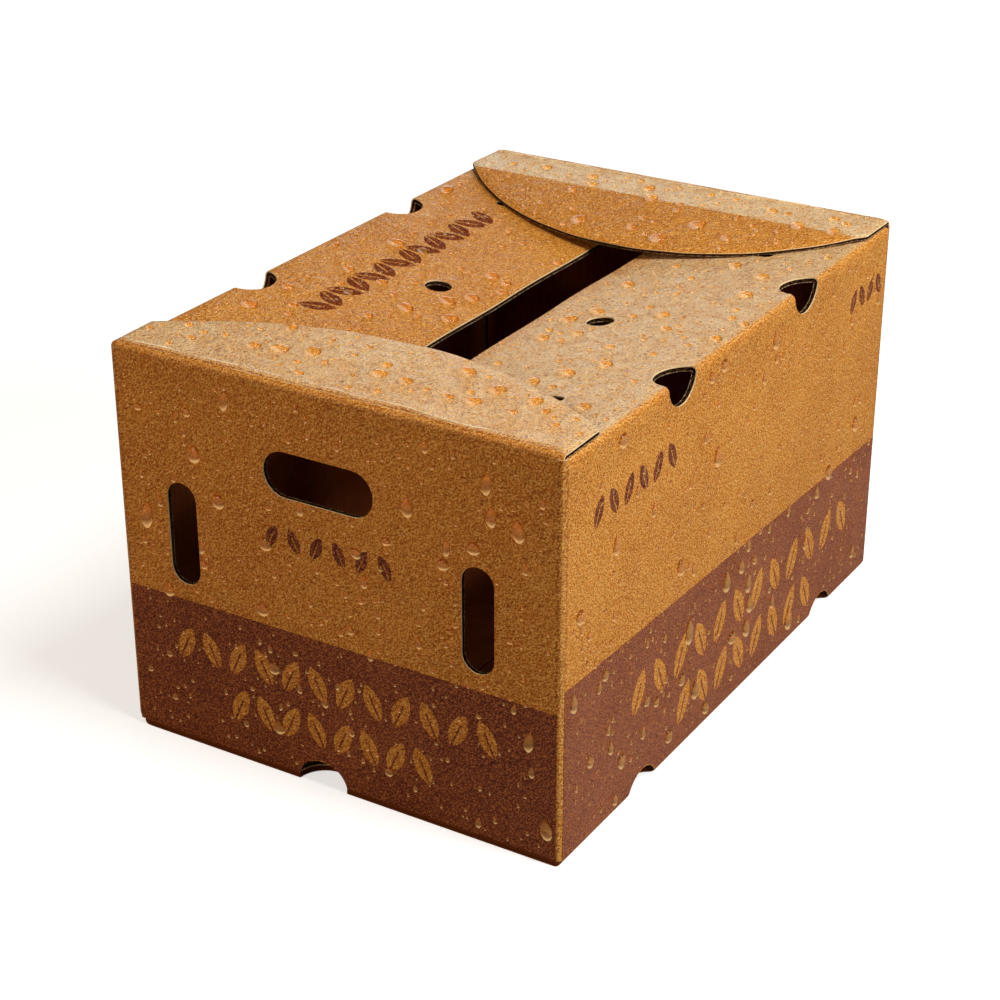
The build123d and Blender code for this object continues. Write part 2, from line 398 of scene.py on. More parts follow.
class Footprint:
    """The way round the outside of the walls, from the glued corner to the end of the lap."""

    def __init__(self, plan: CartonPlan) -> None:
        """Lay the walls end to end.

        Args:
            plan: the carton's sizes.
        """
        radius = plan.stock.fold_radius
        inset = plan.stock.thickness
        self.plan = plan
        self.radius = radius
        self.runs = {
            Panel.LEFT: plan.length - radius,
            Panel.NEAR: plan.width - 2 * radius,
            Panel.RIGHT: plan.length - 2 * radius,
            Panel.FAR: plan.width - 2 * radius - inset,
            Panel.LAP: plan.lap_width - radius,
        }
        self.starts: dict[Panel, float] = {}
        self._legs: list[tuple[float, float, Vector, Vector, bool]] = []
        place = Vector((-plan.width / 2, plan.length / 2))
        heading = Vector((0.0, -1.0))
        along = 0.0
        for panel in Panel:
            run = self.runs[panel]
            self.starts[panel] = along
            self._legs.append((along, along + run, place.copy(), heading.copy(), False))
            place += heading * run
            along += run
            arc = radius * math.pi / 2
            if panel is not Panel.LAP:
                self._legs.append((along, along + arc, place.copy(), heading.copy(), True))
                left = Vector((-heading.y, heading.x))
                place += (heading + left) * radius
                heading = left
                along += arc
        self.total = along

    def span(self, panel: Panel) -> tuple[float, float]:
        """Where a wall starts and ends along the strip."""
        start = self.starts[panel]
        return start, start + self.runs[panel]

    def corners(self) -> list[tuple[float, float]]:
        """Stretches of the strip that the upright folds take."""
        return [(start, end) for start, end, _, _, bent in self._legs if bent]

    def of(self, panel: Panel, place: float) -> float:
        """Place along the strip of a place on a wall.

        Args:
            panel: the wall.
            place: the wall's own x or y in the frame.

        Returns:
            How far along the strip it is.
        """
        start = self.starts[panel]
        if panel is Panel.LEFT:
            return start + self.plan.length / 2 - place
        if panel is Panel.NEAR:
            return start + place + self.plan.width / 2 - self.radius
        if panel is Panel.RIGHT:
            return start + place + self.plan.length / 2 - self.radius
        return start + self.plan.width / 2 - self.radius - place

    def stand(self, along: float, inward: float) -> tuple[float, float]:
        """Point in plan, a distance in from the outside of the walls.

        Args:
            along: how far along the strip.
            inward: how far in from the outside.

        Returns:
            The point's x and y.
        """
        for start, end, place, heading, bent in self._legs:
            if along <= end or (start, end) == self._legs[-1][:2]:
                break
        left = Vector((-heading.y, heading.x))
        if not bent:
            point = place + heading * (along - start) + left * inward
            return point.x, point.y
        angle = (along - start) / self.radius
        rest = max(self.radius - inward, 0.0)
        point = place + left * self.radius
        point = point + heading * (rest * math.sin(angle)) - left * (rest * math.cos(angle))
        return point.x, point.y


# Board


class Sheet:
    """A sheet of board, drawn flat, cut and then folded. Its outside is up while it is flat."""

    def __init__(
        self, name: str, columns: Iterable[float], rows: Iterable[float], stock: BoardStock
    ) -> None:
        """Lay out the flat sheet as a grid.

        Args:
            name: the piece's name.
            columns: places of the grid's lines along the sheet.
            rows: places of the grid's lines up the sheet.
            stock: the board that it is cut from.
        """
        self.stock = stock
        columns = sorted(set(round(value, 7) for value in columns))
        rows = sorted(set(round(value, 7) for value in rows))
        deselect()
        bpy.ops.mesh.primitive_grid_add(x_subdivisions=len(columns) - 1, y_subdivisions=len(rows) - 1)
        self.piece = bpy.context.active_object
        self.piece.name = name
        for index, vertex in enumerate(self.piece.data.vertices):
            vertex.co = (columns[index % len(columns)], rows[index // len(columns)], 0.0)

    def trim(self, keep: Callable[[float, float], bool]) -> None:
        """Delete the cells of the grid that aren't part of the sheet.

        Args:
            keep: says of a cell's middle whether the cell stays.
        """
        only(self.piece)
        bpy.ops.object.mode_set(mode="EDIT")
        bpy.ops.mesh.select_mode(type="FACE")
        bpy.ops.mesh.select_all(action="DESELECT")
        bpy.ops.object.mode_set(mode="OBJECT")
        for face in self.piece.data.polygons:
            face.select = not keep(face.center.x, face.center.y)
        bpy.ops.object.mode_set(mode="EDIT")
        bpy.ops.mesh.delete(type="FACE")
        bpy.ops.object.mode_set(mode="OBJECT")

    def thicken(self) -> None:
        """Give the sheet its board's thickness, below its outside."""
        apply_modifier(self.piece, "SOLIDIFY", thickness=self.stock.thickness, offset=-1.0)

    def cut(self, outlines: Sequence[Outline]) -> None:
        """Cut holes through the sheet.

        Args:
            outlines: the outline of each hole, none of which overlap.
        """
        margin = self.stock.thickness
        tools = [prism(outline, -2 * margin, margin) for outline in outlines]
        self._boolean(join(tools, "cutter"), "DIFFERENCE")

    def crop(self, outline: Sequence[Corner]) -> None:
        """Keep only what lies inside an outline.

        Args:
            outline: the outline.
        """
        margin = self.stock.thickness
        self._boolean(prism(outline, -2 * margin, margin), "INTERSECT")

    def _boolean(self, tool: Piece, operation: str) -> None:
        """Cut the sheet with a solid, which is then removed.

        Args:
            tool: the solid.
            operation: DIFFERENCE or INTERSECT.
        """
        apply_modifier(self.piece, "BOOLEAN", operation=operation, object=tool, solver="EXACT")
        bpy.data.objects.remove(tool)

    def mark(self) -> None:
        """Sort the faces into outside, inside and cut edges, and keep each point's flat place."""
        mesh = self.piece.data
        mesh.materials.clear()
        for _ in BoardFace:
            mesh.materials.append(None)
        for face in mesh.polygons:
            if face.normal.z > 0.5:
                face.material_index = BoardFace.OUTER.value
            elif face.normal.z < -0.5:
                face.material_index = BoardFace.INNER.value
            else:
                face.material_index = BoardFace.CUT.value
        flat = mesh.attributes.new("flat", "FLOAT_VECTOR", "POINT")
        for vertex, value in zip(mesh.vertices, flat.data):
            value.vector = vertex.co

    def fold(self, place: Callable[[float, float, float], Point]) -> Piece:
        """Fold the flat sheet into its place.

        Args:
            place: turns how far along, how far up and how deep into a point of the frame.

        Returns:
            The folded piece.
        """
        for vertex in self.piece.data.vertices:
            vertex.co = place(vertex.co.x, vertex.co.y, -vertex.co.z)
        self.piece.data.update()
        only(self.piece)
        bpy.ops.object.shade_smooth_by_angle(angle=math.radians(35))
        return self.piece


@dataclass
class Blank:
    """The folded and glued blank: four walls, side flaps, bottom flaps and lap."""

    plan: CartonPlan
    hand_slot: tuple[float, float] = (99 * MM, 38 * MM)
    hand_slot_level: float = 264 * MM
    hand_slot_offset: float = -9 * MM
    vent: tuple[float, float] = (88 * MM, 28 * MM)
    vent_level: float = 189 * MM
    vent_spacing: float = 268 * MM
    vent_offset: float = -4.5 * MM
    fold_hole: float = 46 * MM
    fold_hole_spacing: float = 220 * MM
    end_notch: tuple[float, float] = (45 * MM, 22 * MM)
    end_notch_offset: float = -14 * MM
    side_notch: tuple[float, float] = (46 * MM, 16 * MM)
    side_notch_spacing: float = 338 * MM
    side_notch_offset: float = 13 * MM
    finger_hole: float = 23 * MM
    finger_hole_reach: float = 124 * MM
    finger_hole_y: float = -14 * MM
    lock_slot: tuple[float, float] = (24 * MM, 10 * MM)
    lock_slot_reach: float = 75 * MM
    lock_slot_y: float = 179 * MM
    past_foot_fold: float = 1.0 * MM
    inner_flap_margin: float = 1.0 * MM
    bottom_inset: float = 0.1 * MM
    footprint: Footprint = field(init=False)
    top_fold: Fold = field(init=False)
    foot: dict[Panel, float] = field(init=False)
    holes: list[Outline] = field(init=False)

    def __post_init__(self) -> None:
        """Work out the folds, the way round the walls and the holes."""
        plan = self.plan
        radius = plan.stock.fold_radius
        self.footprint = Footprint(plan)
        self.top_fold = Fold(plan.side_top, math.pi / 2 + plan.sag_angle, radius)
        board = plan.stock.thickness
        self.foot = {Panel.LEFT: 0.0, Panel.NEAR: board, Panel.RIGHT: 0.0, Panel.FAR: board}
        self.holes = self._holes()

    def _panel_at(self, along: float) -> Panel | None:
        """Find the wall at a place along the strip.

        Args:
            along: how far along the strip.

        Returns:
            The wall, or none in an upright fold.
        """
        for panel in Panel:
            start, end = self.footprint.span(panel)
            if start - ROUNDING <= along <= end + ROUNDING:
                return panel
        return None

    def _columns(self) -> list[float]:
        """Lay the grid lines along the strip.

        Returns:
            Their places, in no order.
        """
        stock = self.plan.stock
        lines = [0.0, self.footprint.total]
        for panel in Panel:
            start, end = self.footprint.span(panel)
            lines += [start, end] + spread(start, end, stock.grid)
            if panel in SIDE_WALLS:
                lines += [start + self.plan.slit, end - self.plan.slit]
        for start, end in self.footprint.corners():
            lines += spread(start, end, (end - start) / stock.fold_steps)
        lines += [stock.fold_radius, stock.fold_radius - self.plan.slit]
        return lines

    def _rows(self) -> list[float]:
        """Lay the grid lines up the strip.

        Returns:
            Their places, in no order.
        """
        plan = self.plan
        stock = plan.stock
        fold = self.top_fold
        rows = [fold.start, fold.end, plan.end_wall_top, fold.past(plan.side_flap_reach)]
        rows += spread(fold.start, fold.end, (fold.end - fold.start) / stock.fold_steps)
        rows += spread(fold.end, fold.past(plan.side_flap_reach), stock.grid)
        rows += spread(stock.thickness + stock.fold_radius, fold.start, stock.grid)
        for foot in (0.0, stock.thickness):
            start = foot + stock.fold_radius
            end = start - stock.fold_radius * math.pi / 2
            rows += [start, end] + spread(end, start, (start - end) / stock.fold_steps)
        end_flap_end = self._below(Panel.NEAR, plan.bottom_reach)
        rows += [end_flap_end, self._side_foot_end()]
        rows += spread(end_flap_end, self._side_foot_end(), 2 * stock.grid)
        rows += plan.lap_span
        rows.append(stock.thickness)
        return rows

    def _side_foot_end(self) -> float:
        """How far down the strip a side wall runs, just past its bottom fold."""
        radius = self.plan.stock.fold_radius
        return radius - radius * math.pi / 2 - self.past_foot_fold

    def _below(self, panel: Panel, reach: float) -> float:
        """Place down the strip of what lies under the carton.

        Args:
            panel: the wall.
            reach: how far in from the wall it lies.

        Returns:
            The place, which is less than zero past the fold.
        """
        radius = self.plan.stock.fold_radius
        start = self.foot[panel] + radius
        return start - radius * math.pi / 2 - (reach - radius)

    def _on_blank(self, along: float, up: float) -> bool:
        """Whether a place on the flat strip is board.

        Args:
            along: how far along the strip.
            up: how far up it.

        Returns:
            True where there is board.
        """
        plan = self.plan
        panel = self._panel_at(along)
        if panel is Panel.LAP or (panel is None and along > self.footprint.span(Panel.FAR)[1]):
            low, high = plan.lap_span
            return low < up < high
        if panel is None:
            return plan.stock.thickness < up < plan.end_wall_top
        start, end = self.footprint.span(panel)
        if panel in END_WALLS:
            if up < plan.stock.thickness:
                return start + self.inner_flap_margin < along < end - self.inner_flap_margin
            return up < plan.end_wall_top
        if up <= self.top_fold.start:
            return up > self._side_foot_end()
        first = start + (plan.stock.fold_radius if panel is Panel.LEFT else plan.slit)
        stands = panel is Panel.LEFT and along < first - plan.slit and up < plan.end_wall_top
        return first < along < end - plan.slit or stands

    def _holes(self) -> list[Outline]:
        """Draw every hole and notch in the strip.

        Returns:
            Their outlines.
        """
        holes = []
        for panel, hand in ((Panel.NEAR, 1), (Panel.FAR, -1)):
            x = self.footprint.of(panel, hand * self.hand_slot_offset)
            holes.append(slot(x, self.hand_slot_level, *self.hand_slot, upright=False))
            if panel is Panel.NEAR:
                for side in (-1, 1):
                    x = self.footprint.of(panel, self.vent_offset + side * self.vent_spacing / 2)
                    holes.append(slot(x, self.vent_level, *self.vent, upright=True))
            x = self.footprint.of(panel, hand * self.end_notch_offset)
            top = self.end_notch[1]
            bottom = self._below(panel, self.end_notch[1])
            holes.append(ellipse(x, (top + bottom) / 2, self.end_notch[0], top - bottom))
        for panel, hand in ((Panel.RIGHT, 1), (Panel.LEFT, -1)):
            holes += self._side_holes(panel, hand)
        for panel in END_WALLS:
            holes.append(self._foot_corner(self.footprint.starts[panel]))
        return holes

    def _foot_corner(self, start: float) -> Outline:
        """Outline of the waste of a rounded bottom corner, on both sides of an upright fold.

        Args:
            start: where the wall past the fold starts along the strip.

        Returns:
            The outline.
        """
        radius = self.plan.foot_corner
        middle = start - self.footprint.radius * math.pi / 4
        steps = 16
        corners = [(middle - radius, -radius), (middle + radius, -radius)]
        for step in range(2 * steps + 1):
            away = 1 - step / steps
            rise = radius - math.sqrt(max(radius**2 - (radius * (1 - abs(away))) ** 2, 0.0))
            lift = self.plan.stock.thickness if away > 0 else 0.0
            corners.append((middle + away * radius, max(rise + lift, HAIRLINE)))
        return corners

    def _side_holes(self, panel: Panel, hand: int) -> list[Outline]:
        """Outlines of the holes and notches in one side wall and its flap.

        Args:
            panel: the wall.
            hand: 1 on the right and -1 on the left.

        Returns:
            The outlines.
        """
        plan = self.plan
        fold = self.top_fold
        holes = []
        middle = (fold.start + fold.end) / 2
        half_height = middle - (plan.side_top - self.fold_hole / 2)
        for side in (-1, 1):
            x = self.footprint.of(panel, side * self.fold_hole_spacing / 2)
            holes.append(ellipse(x, middle, self.fold_hole, 2 * half_height, corners=48))
            offset = hand * (self.side_notch_offset + side * self.side_notch_spacing / 2)
            holes.append(notch(self.footprint.of(panel, offset), self.side_notch))
            x = self.footprint.of(panel, side * self.lock_slot_y)
            holes.append(slot(x, fold.past(self.lock_slot_reach), *self.lock_slot, upright=True))
        x = self.footprint.of(panel, self.finger_hole_y)
        y = fold.past(self.finger_hole_reach)
        holes.append(ellipse(x, y, self.finger_hole, self.finger_hole, corners=32))
        return holes

    def place(self, along: float, up: float, depth: float) -> Point:
        """Fold one point of the strip.

        Args:
            along: how far along the strip.
            up: how far up it.
            depth: how deep under the outer liner.

        Returns:
            The point in the frame.
        """
        radius = self.plan.stock.fold_radius
        panel = self._panel_at(along)
        inward, level = depth, up
        if panel in SIDE_WALLS and not self._stands(panel, along):
            inward, level = self.top_fold.bend(up, depth)
        foot = self.foot.get(panel)
        if foot is not None and up < foot + radius:
            inward, drop = Fold(0.0, math.pi / 2, radius).bend(foot - up, depth)
            level = foot - drop
        x, y = self.footprint.stand(along, inward)
        if panel in SIDE_WALLS and up > self.top_fold.end:
            return drape(x, y, level)
        return x, y, level

    def _stands(self, panel: Panel, along: float) -> bool:
        """Whether a place of a side wall has no flap over it.

        Args:
            panel: the wall.
            along: how far along the strip.

        Returns:
            True beside the slits, where the wall stands free.
        """
        start, end = self.footprint.span(panel)
        first = start + (self.plan.stock.fold_radius - self.plan.slit if panel is Panel.LEFT else 0.0)
        return along < first + self.plan.slit / 2 or along > end - self.plan.slit / 2

    def build(self, materials: Sequence[Material], sealed: Material) -> Piece:
        """Model the blank.

        Args:
            materials: the materials of its outside, its inside and its cut edges.
            sealed: the material of the cut edges under the carton, which wax and print have closed.

        Returns:
            The folded blank, in one piece.
        """
        sheet = Sheet("waxed_blank", self._columns(), self._rows(), self.plan.stock)
        sheet.trim(self._on_blank)
        sheet.thicken()
        sheet.cut(self.holes)
        sheet.mark()
        strip = sheet.fold(self.place)
        dress(strip, materials)
        flaps = [self._bottom_flap(side) for side in Side]
        for flap in flaps:
            dress(flap, [*materials[:2], sealed])
        return join([strip] + flaps, "waxed_blank")

    def _bottom_outline(self, side: Side) -> Outline:
        """Outline of an outer bottom flap, with y in from its wall.

        Args:
            side: the side of the carton.

        Returns:
            The outline.
        """
        plan = self.plan
        half_length = plan.length / 2
        reach = plan.width / 2 - plan.bottom_seam / 2
        radii = [plan.stock.fold_radius, plan.foot_corner]
        if side is Side.MINUS:
            radii.reverse()
        near, far = radii
        corners = quarter(-half_length + near, near, near, math.pi)
        corners += quarter(half_length - far, far, far, 1.5 * math.pi)
        return corners + [(half_length, reach), (-half_length, reach)]

    def _bottom_flap(self, side: Side) -> Piece:
        """Model one outer bottom flap, which its side wall folds into.

        Args:
            side: the side of the carton.

        Returns:
            The flap.
        """
        plan = self.plan
        stock = plan.stock
        half_length = plan.length / 2
        reach = plan.width / 2 - plan.bottom_seam / 2
        rows = [0.0, reach] + spread(0.0, reach, 2 * stock.grid)
        columns = [-half_length, half_length] + spread(-half_length, half_length, 2 * stock.grid)
        sheet = Sheet("bottom_flap", columns, rows, stock)
        sheet.thicken()
        sheet.crop(self._bottom_outline(side))
        width, height = self.end_notch
        radius = arc_radius(width / 2, height)
        holes = []
        for end in (-1, 1):
            y = side.value * (self.side_notch_offset + end * self.side_notch_spacing / 2)
            holes.append(notch(y, self.side_notch))
        for end in (-1, 1):
            x = plan.width / 2 + side.value * end * self.end_notch_offset
            y = end * (half_length + radius - height)
            holes.append(ellipse(y, x, 2 * radius, 2 * radius, NOTCH_CORNERS))
        sheet.cut(holes)
        sheet.mark()
        piece = sheet.fold(lambda along, inward, depth: self._lay(side, along, inward, depth))
        if side is Side.PLUS:
            only(piece)
            with editing():
                bpy.ops.mesh.flip_normals()
        return piece

    def _lay(self, side: Side, along: float, reach: float, depth: float) -> Point:
        """Turn a bottom flap's outside down and round its outer edge.

        Args:
            side: the side of the carton.
            along: how far along the carton.
            reach: how far in from the flap's outer edge.
            depth: how deep under the outer liner.

        Returns:
            The point in the frame.
        """
        radius = self.plan.stock.fold_radius
        inward = reach + self.bottom_inset
        level = depth
        if inward < radius:
            level = max(level, radius - math.sqrt(max(radius**2 - (radius - inward) ** 2, 0.0)))
        return side.value * (self.plan.width / 2 - inward), along, level


def quarter(x: float, y: float, radius: float, start: float) -> Outline:
    """Corners of a quarter circle.

    Args:
        x: its centre across.
        y: its centre up.
        radius: its radius.
        start: the angle where it starts.

    Returns:
        The corners, counterclockwise.
    """
    steps = 8
    turns = (start + math.pi / 2 * step / steps for step in range(steps + 1))
    return [(x + radius * math.cos(turn), y + radius * math.sin(turn)) for turn in turns]


def drape(x: float, y: float, z: float) -> Point:
    """Let a side flap's free edge wave a little, as waxed board does.

    Args:
        x: across the carton.
        y: along it.
        z: up.

    Returns:
        The point, raised or lowered by up to a millimetre or two near the free edge.
    """
    reach = 1 - min(abs(x) / DRAPE_START, 1.0)
    swell = noise.noise(Vector((x * 3 + 7.1, y * 9, 0.3)))
    return x, y, z + DRAPE_HEIGHT * reach * reach * swell


@dataclass(frozen=True)
class Wrinkle:
    """The wavy wrinkle along an end flap's fold, with a trough on the fold's side of it."""

    height: float = 1.6 * MM
    place: float = 9.5 * MM
    wander: float = 5.0 * MM
    waver: float = 1.8 * MM
    width: float = 1.5 * MM
    trough_place: float = 3.4 * MM
    trough_width: float = 1.9 * MM
    trough_depth: float = 0.65
    fade: float = 6 * MM


@dataclass
class EndFlap:
    """A half-moon end flap on its hinge at the top of an end wall."""

    plan: CartonPlan
    side: Side
    reach: float
    straight: float = 50 * MM
    clearance: float = 1.5 * MM
    crease: float | None = None
    tilt: float = 0.0
    bend_reach: float = 2.5 * MM
    wrinkle: Wrinkle = Wrinkle()
    crush: float = 1.5 * MM
    crush_width: float = 4.5 * MM
    swell: float = 0.8 * MM
    swell_start: float = 60 * MM
    root: float = 10 * MM
    grid: float = 5 * MM
    wrinkle_zone: float = 24 * MM
    wrinkle_grid: float = 1.2 * MM

    @property
    def half_width(self) -> float:
        """Half of the flap's width."""
        return self.plan.width / 2 - self.clearance

    @property
    def arc(self) -> float:
        """Radius of the flap's arc."""
        return arc_radius(self.half_width, self.reach - self.straight)

    def _outline(self) -> Outline:
        """Draw the flap: straight sides and an arc.

        Returns:
            Its corners, counterclockwise.
        """
        half = self.half_width
        radius = self.arc
        span = math.asin(half / radius)
        steps = 72
        shift = self._flat(self.reach) - self.reach
        corners = [(-half, -self.root), (half, -self.root)]
        for step in range(steps + 1):
            turn = span - 2 * span * step / steps
            corners.append((radius * math.sin(turn), self.reach - radius + radius * math.cos(turn) + shift))
        return corners

    def _flat(self, reach: float) -> float:
        """Place on the flat flap of what lies a distance in from the hinge, once folded."""
        radius = self.plan.stock.thickness
        return radius * math.pi / 2 + reach - radius

    def _grid(self) -> tuple[list[float], list[float]]:
        """Lay the grid lines, finer where the flap folds and wrinkles.

        Returns:
            Those across the flap, and those in from its hinge.
        """
        half = self.half_width
        columns = [-half, half] + spread(-half, half, 0.6 * self.grid)
        arc = self._flat(self.plan.stock.thickness)
        plain = arc + self.wrinkle_zone
        end = self._flat(self.reach) + 2 * MM
        rows = [0.0, arc, end] + spread(0.0, arc, arc / 6) + spread(arc, plain, self.wrinkle_grid)
        rows += spread(plain, end, self.grid)
        if self.crease:
            middle = self._flat(self.crease)
            rows += spread(middle - 6 * MM, middle + 6 * MM, 1.0 * MM)
        return columns, rows

    def place(self, across: float, along: float, depth: float) -> Point:
        """Fold one point of the flap.

        Args:
            across: across the flap, as seen from outside the end wall.
            along: in from the hinge on the flat flap.
            depth: how deep under the outer liner.

        Returns:
            The point in the frame.
        """
        radius = self.plan.stock.thickness
        arc = radius * math.pi / 2
        depth += self._crushed(across, along) * (1 - depth / radius)
        if along < arc:
            angle = along / radius
            rest = radius - depth
            inward = radius - rest * math.cos(angle)
            level = self.plan.flap_seat + rest * math.sin(angle)
        else:
            inward = radius + along - arc
            level = self.plan.height - depth
            if self.crease:
                inward, level = self._creased(inward, depth)
        side = self.side.value
        x = -side * across
        lift = self._relief(x, inward) if along >= arc else 0.0
        return x, side * (self.plan.length / 2 - inward), level + lift

    def _crushed(self, across: float, along: float) -> float:
        """How far the outer liner is pressed down along the flap's cut edge.

        Args:
            across: across the flap.
            along: in from the hinge on the flat flap.

        Returns:
            The depth, which is zero away from the edge.
        """
        inward = self.reach - self._flat(self.reach) + along
        to_arc = self.arc - math.hypot(across, inward - (self.reach - self.arc))
        to_edge = min(self.half_width - abs(across), to_arc)
        uneven = 0.8 + 0.5 * noise.noise(Vector((across * 30, along * 30, 2.0)))
        return self.crush * uneven * max(1 - to_edge / self.crush_width, 0.0)

    def _creased(self, inward: float, depth: float) -> tuple[float, float]:
        """Tilt what lies past the crease down onto the side flaps.

        Args:
            inward: in from the outside of the end wall, before the tilt.
            depth: how deep under the outer liner.

        Returns:
            The same place after the tilt, as inward and level.
        """
        soft = self.bend_reach
        past = inward - self.crease
        if past <= -soft:
            return inward, self.plan.height - depth
        angle = self.tilt * min((past + soft) / (2 * soft), 1.0)
        bend = 2 * soft / self.tilt
        if past < soft:
            run = -soft + bend * math.sin(angle)
            drop = bend * (1 - math.cos(angle))
        else:
            run = -soft + bend * math.sin(angle) + (past - soft) * math.cos(angle)
            drop = bend * (1 - math.cos(angle)) + (past - soft) * math.sin(angle)
        level = self.plan.height - drop - depth * math.cos(angle)
        return self.crease + run - depth * math.sin(angle), level

    def _relief(self, x: float, inward: float) -> float:
        """How far the flap's surface stands over its plane: a wrinkle along the fold, and swells.

        Args:
            x: across the carton.
            inward: in from the outside of the end wall.

        Returns:
            The height.
        """
        free = max(inward - self.swell_start, 0.0) / (self.reach - self.swell_start)
        swell = self.swell * free * noise.noise(Vector((x * 9, inward * 11, 5.0)))
        return self.wrinkle.height * self._crest(x, inward) + (0.0 if self.crease else swell)

    def _crest(self, x: float, inward: float) -> float:
        """How far up the wrinkle along the fold a place lies, and less than zero in its trough.

        Args:
            x: across the carton.
            inward: in from the outside of the end wall.

        Returns:
            About 1 on the crest.
        """
        form = self.wrinkle
        wander = form.wander * noise.noise(Vector((x * 14, 3.7, 0.0)))
        strength = 0.75 + 0.9 * noise.noise(Vector((x * 22, 9.1, 0.0)))
        crest = form.place + wander + form.waver * noise.noise(Vector((x * 60, 1.3, 0.0)))
        ridge = math.exp(-(((inward - crest) / form.width) ** 2))
        trough = math.exp(-(((inward - crest + form.trough_place) / form.trough_width) ** 2))
        fade = min((self.half_width - abs(x)) / form.fade, 1.0)
        return strength * fade * (ridge - form.trough_depth * trough)

    def covers(self, place: Vector, margin: float) -> bool:
        """Whether the flap lies over a place, or within a margin of it.

        Args:
            place: the place.
            margin: the margin, which is less than zero inside the flap's edge.

        Returns:
            True where the flap covers it.
        """
        inward = self.plan.length / 2 - self.side.value * place.y
        if abs(place.x) > self.half_width + margin or inward > self.reach + margin:
            return False
        return math.hypot(place.x, inward - (self.reach - self.arc)) < self.arc + margin

    def build(self, name: str) -> Piece:
        """Model the flap.

        Args:
            name: the piece's name.

        Returns:
            The folded flap.
        """
        columns, rows = self._grid()
        sheet = Sheet(name, columns, rows, self.plan.stock)
        sheet.thicken()
        sheet.crop(self._outline())
        sheet.mark()
        mesh = sheet.piece.data
        crest = mesh.attributes.new("crest", "FLOAT", "POINT")
        for vertex, value in zip(mesh.vertices, crest.data):
            x = -self.side.value * vertex.co.x
            value.value = self._crest(x, self.reach - self._flat(self.reach) + vertex.co.y)
        return sheet.fold(self.place)


# Water


class Lie(Enum):
    """How a drop lies on its board."""

    BEAD = 0
    RUN = 1


@dataclass(frozen=True)
class Spot:
    """A place for one drop.

    Attributes:
        place: its middle on the board.
        normal: the way the board faces there.
        down: the way its tail points along the board.
        size: its width.
        lie: whether it stands as a bead or hangs as a run.
    """

    place: Vector
    normal: Vector
    down: Vector
    size: float
    lie: Lie


class Water:
    """Drops of water, modelled a few times and copied."""

    kinds: int = 4
    sunk: float = 0.05
    large: float = 5 * MM
    cut: float = 0.1
    uneven: float = 0.22
    narrowing: float = 0.42
    thinning: float = 0.5
    heights: dict[Lie, float] = {Lie.BEAD: 0.44, Lie.RUN: 0.54}
    lengths: dict[Lie, tuple[float, float]] = {Lie.BEAD: (1.0, 0.10), Lie.RUN: (1.35, 0.28)}

    def __init__(self, seed: int) -> None:
        """Model the drops that are copied.

        Args:
            seed: the seed of every draw.
        """
        self.draw = random.Random(seed)
        self.masters = {
            (lie, large): [self._master(lie, large, kind) for kind in range(self.kinds)]
            for lie in Lie
            for large in (False, True)
        }

    def _master(self, lie: Lie, large: bool, kind: int) -> bpy.types.Mesh:
        """Model one drop of width 1, standing on the origin with its tail towards +Y.

        Args:
            lie: bead or run.
            large: whether it is modelled more finely.
            kind: which of its shapes.

        Returns:
            Its mesh.
        """
        deselect()
        bpy.ops.mesh.primitive_uv_sphere_add(
            segments=14 if large else 8, ring_count=12 if large else 7, radius=0.5
        )
        drop = bpy.context.active_object
        with editing():
            bpy.ops.mesh.bisect(plane_co=(0, 0, -self.cut), plane_no=(0, 0, -1), clear_outer=True)
        height = self.heights[lie]
        shortest, step = self.lengths[lie]
        length = shortest + step * kind
        for vertex in drop.data.vertices:
            x, y, z = vertex.co
            uneven = 1 + self.uneven * noise.noise(Vector((x * 1.7 + 3 * kind, y * 1.7, lie.value * 5.0)))
            if lie is Lie.RUN:
                tail = max(-y, 0.0) * 2
                x *= 1 - self.narrowing * tail
                z *= 1 - self.thinning * tail
            vertex.co = (x * uneven, y * length * uneven, (z + self.cut - self.sunk) * height)
        only(drop)
        bpy.ops.object.shade_smooth_by_angle(angle=math.radians(60))
        mesh = drop.data
        bpy.data.objects.remove(drop)
        return mesh

    def wet(self, name: str, spots: Sequence[Spot]) -> Piece:
        """Put a drop on every spot.

        Args:
            name: the name of the piece that the drops make.
            spots: the spots.

        Returns:
            The drops, in one piece.
        """
        pieces = []
        for spot in spots:
            mesh = self.draw.choice(self.masters[spot.lie, spot.size > self.large]).copy()
            normal = spot.normal.normalized()
            tail = (spot.down - normal * spot.down.dot(normal)).normalized()
            across = tail.cross(normal)
            turn = Matrix((across, tail, normal)).transposed().to_4x4()
            mesh.transform(Matrix.Translation(spot.place) @ turn @ Matrix.Scale(spot.size, 4))
            piece = bpy.data.objects.new(name, mesh)
            bpy.context.scene.collection.objects.link(piece)
            pieces.append(piece)
        return join(pieces, name)


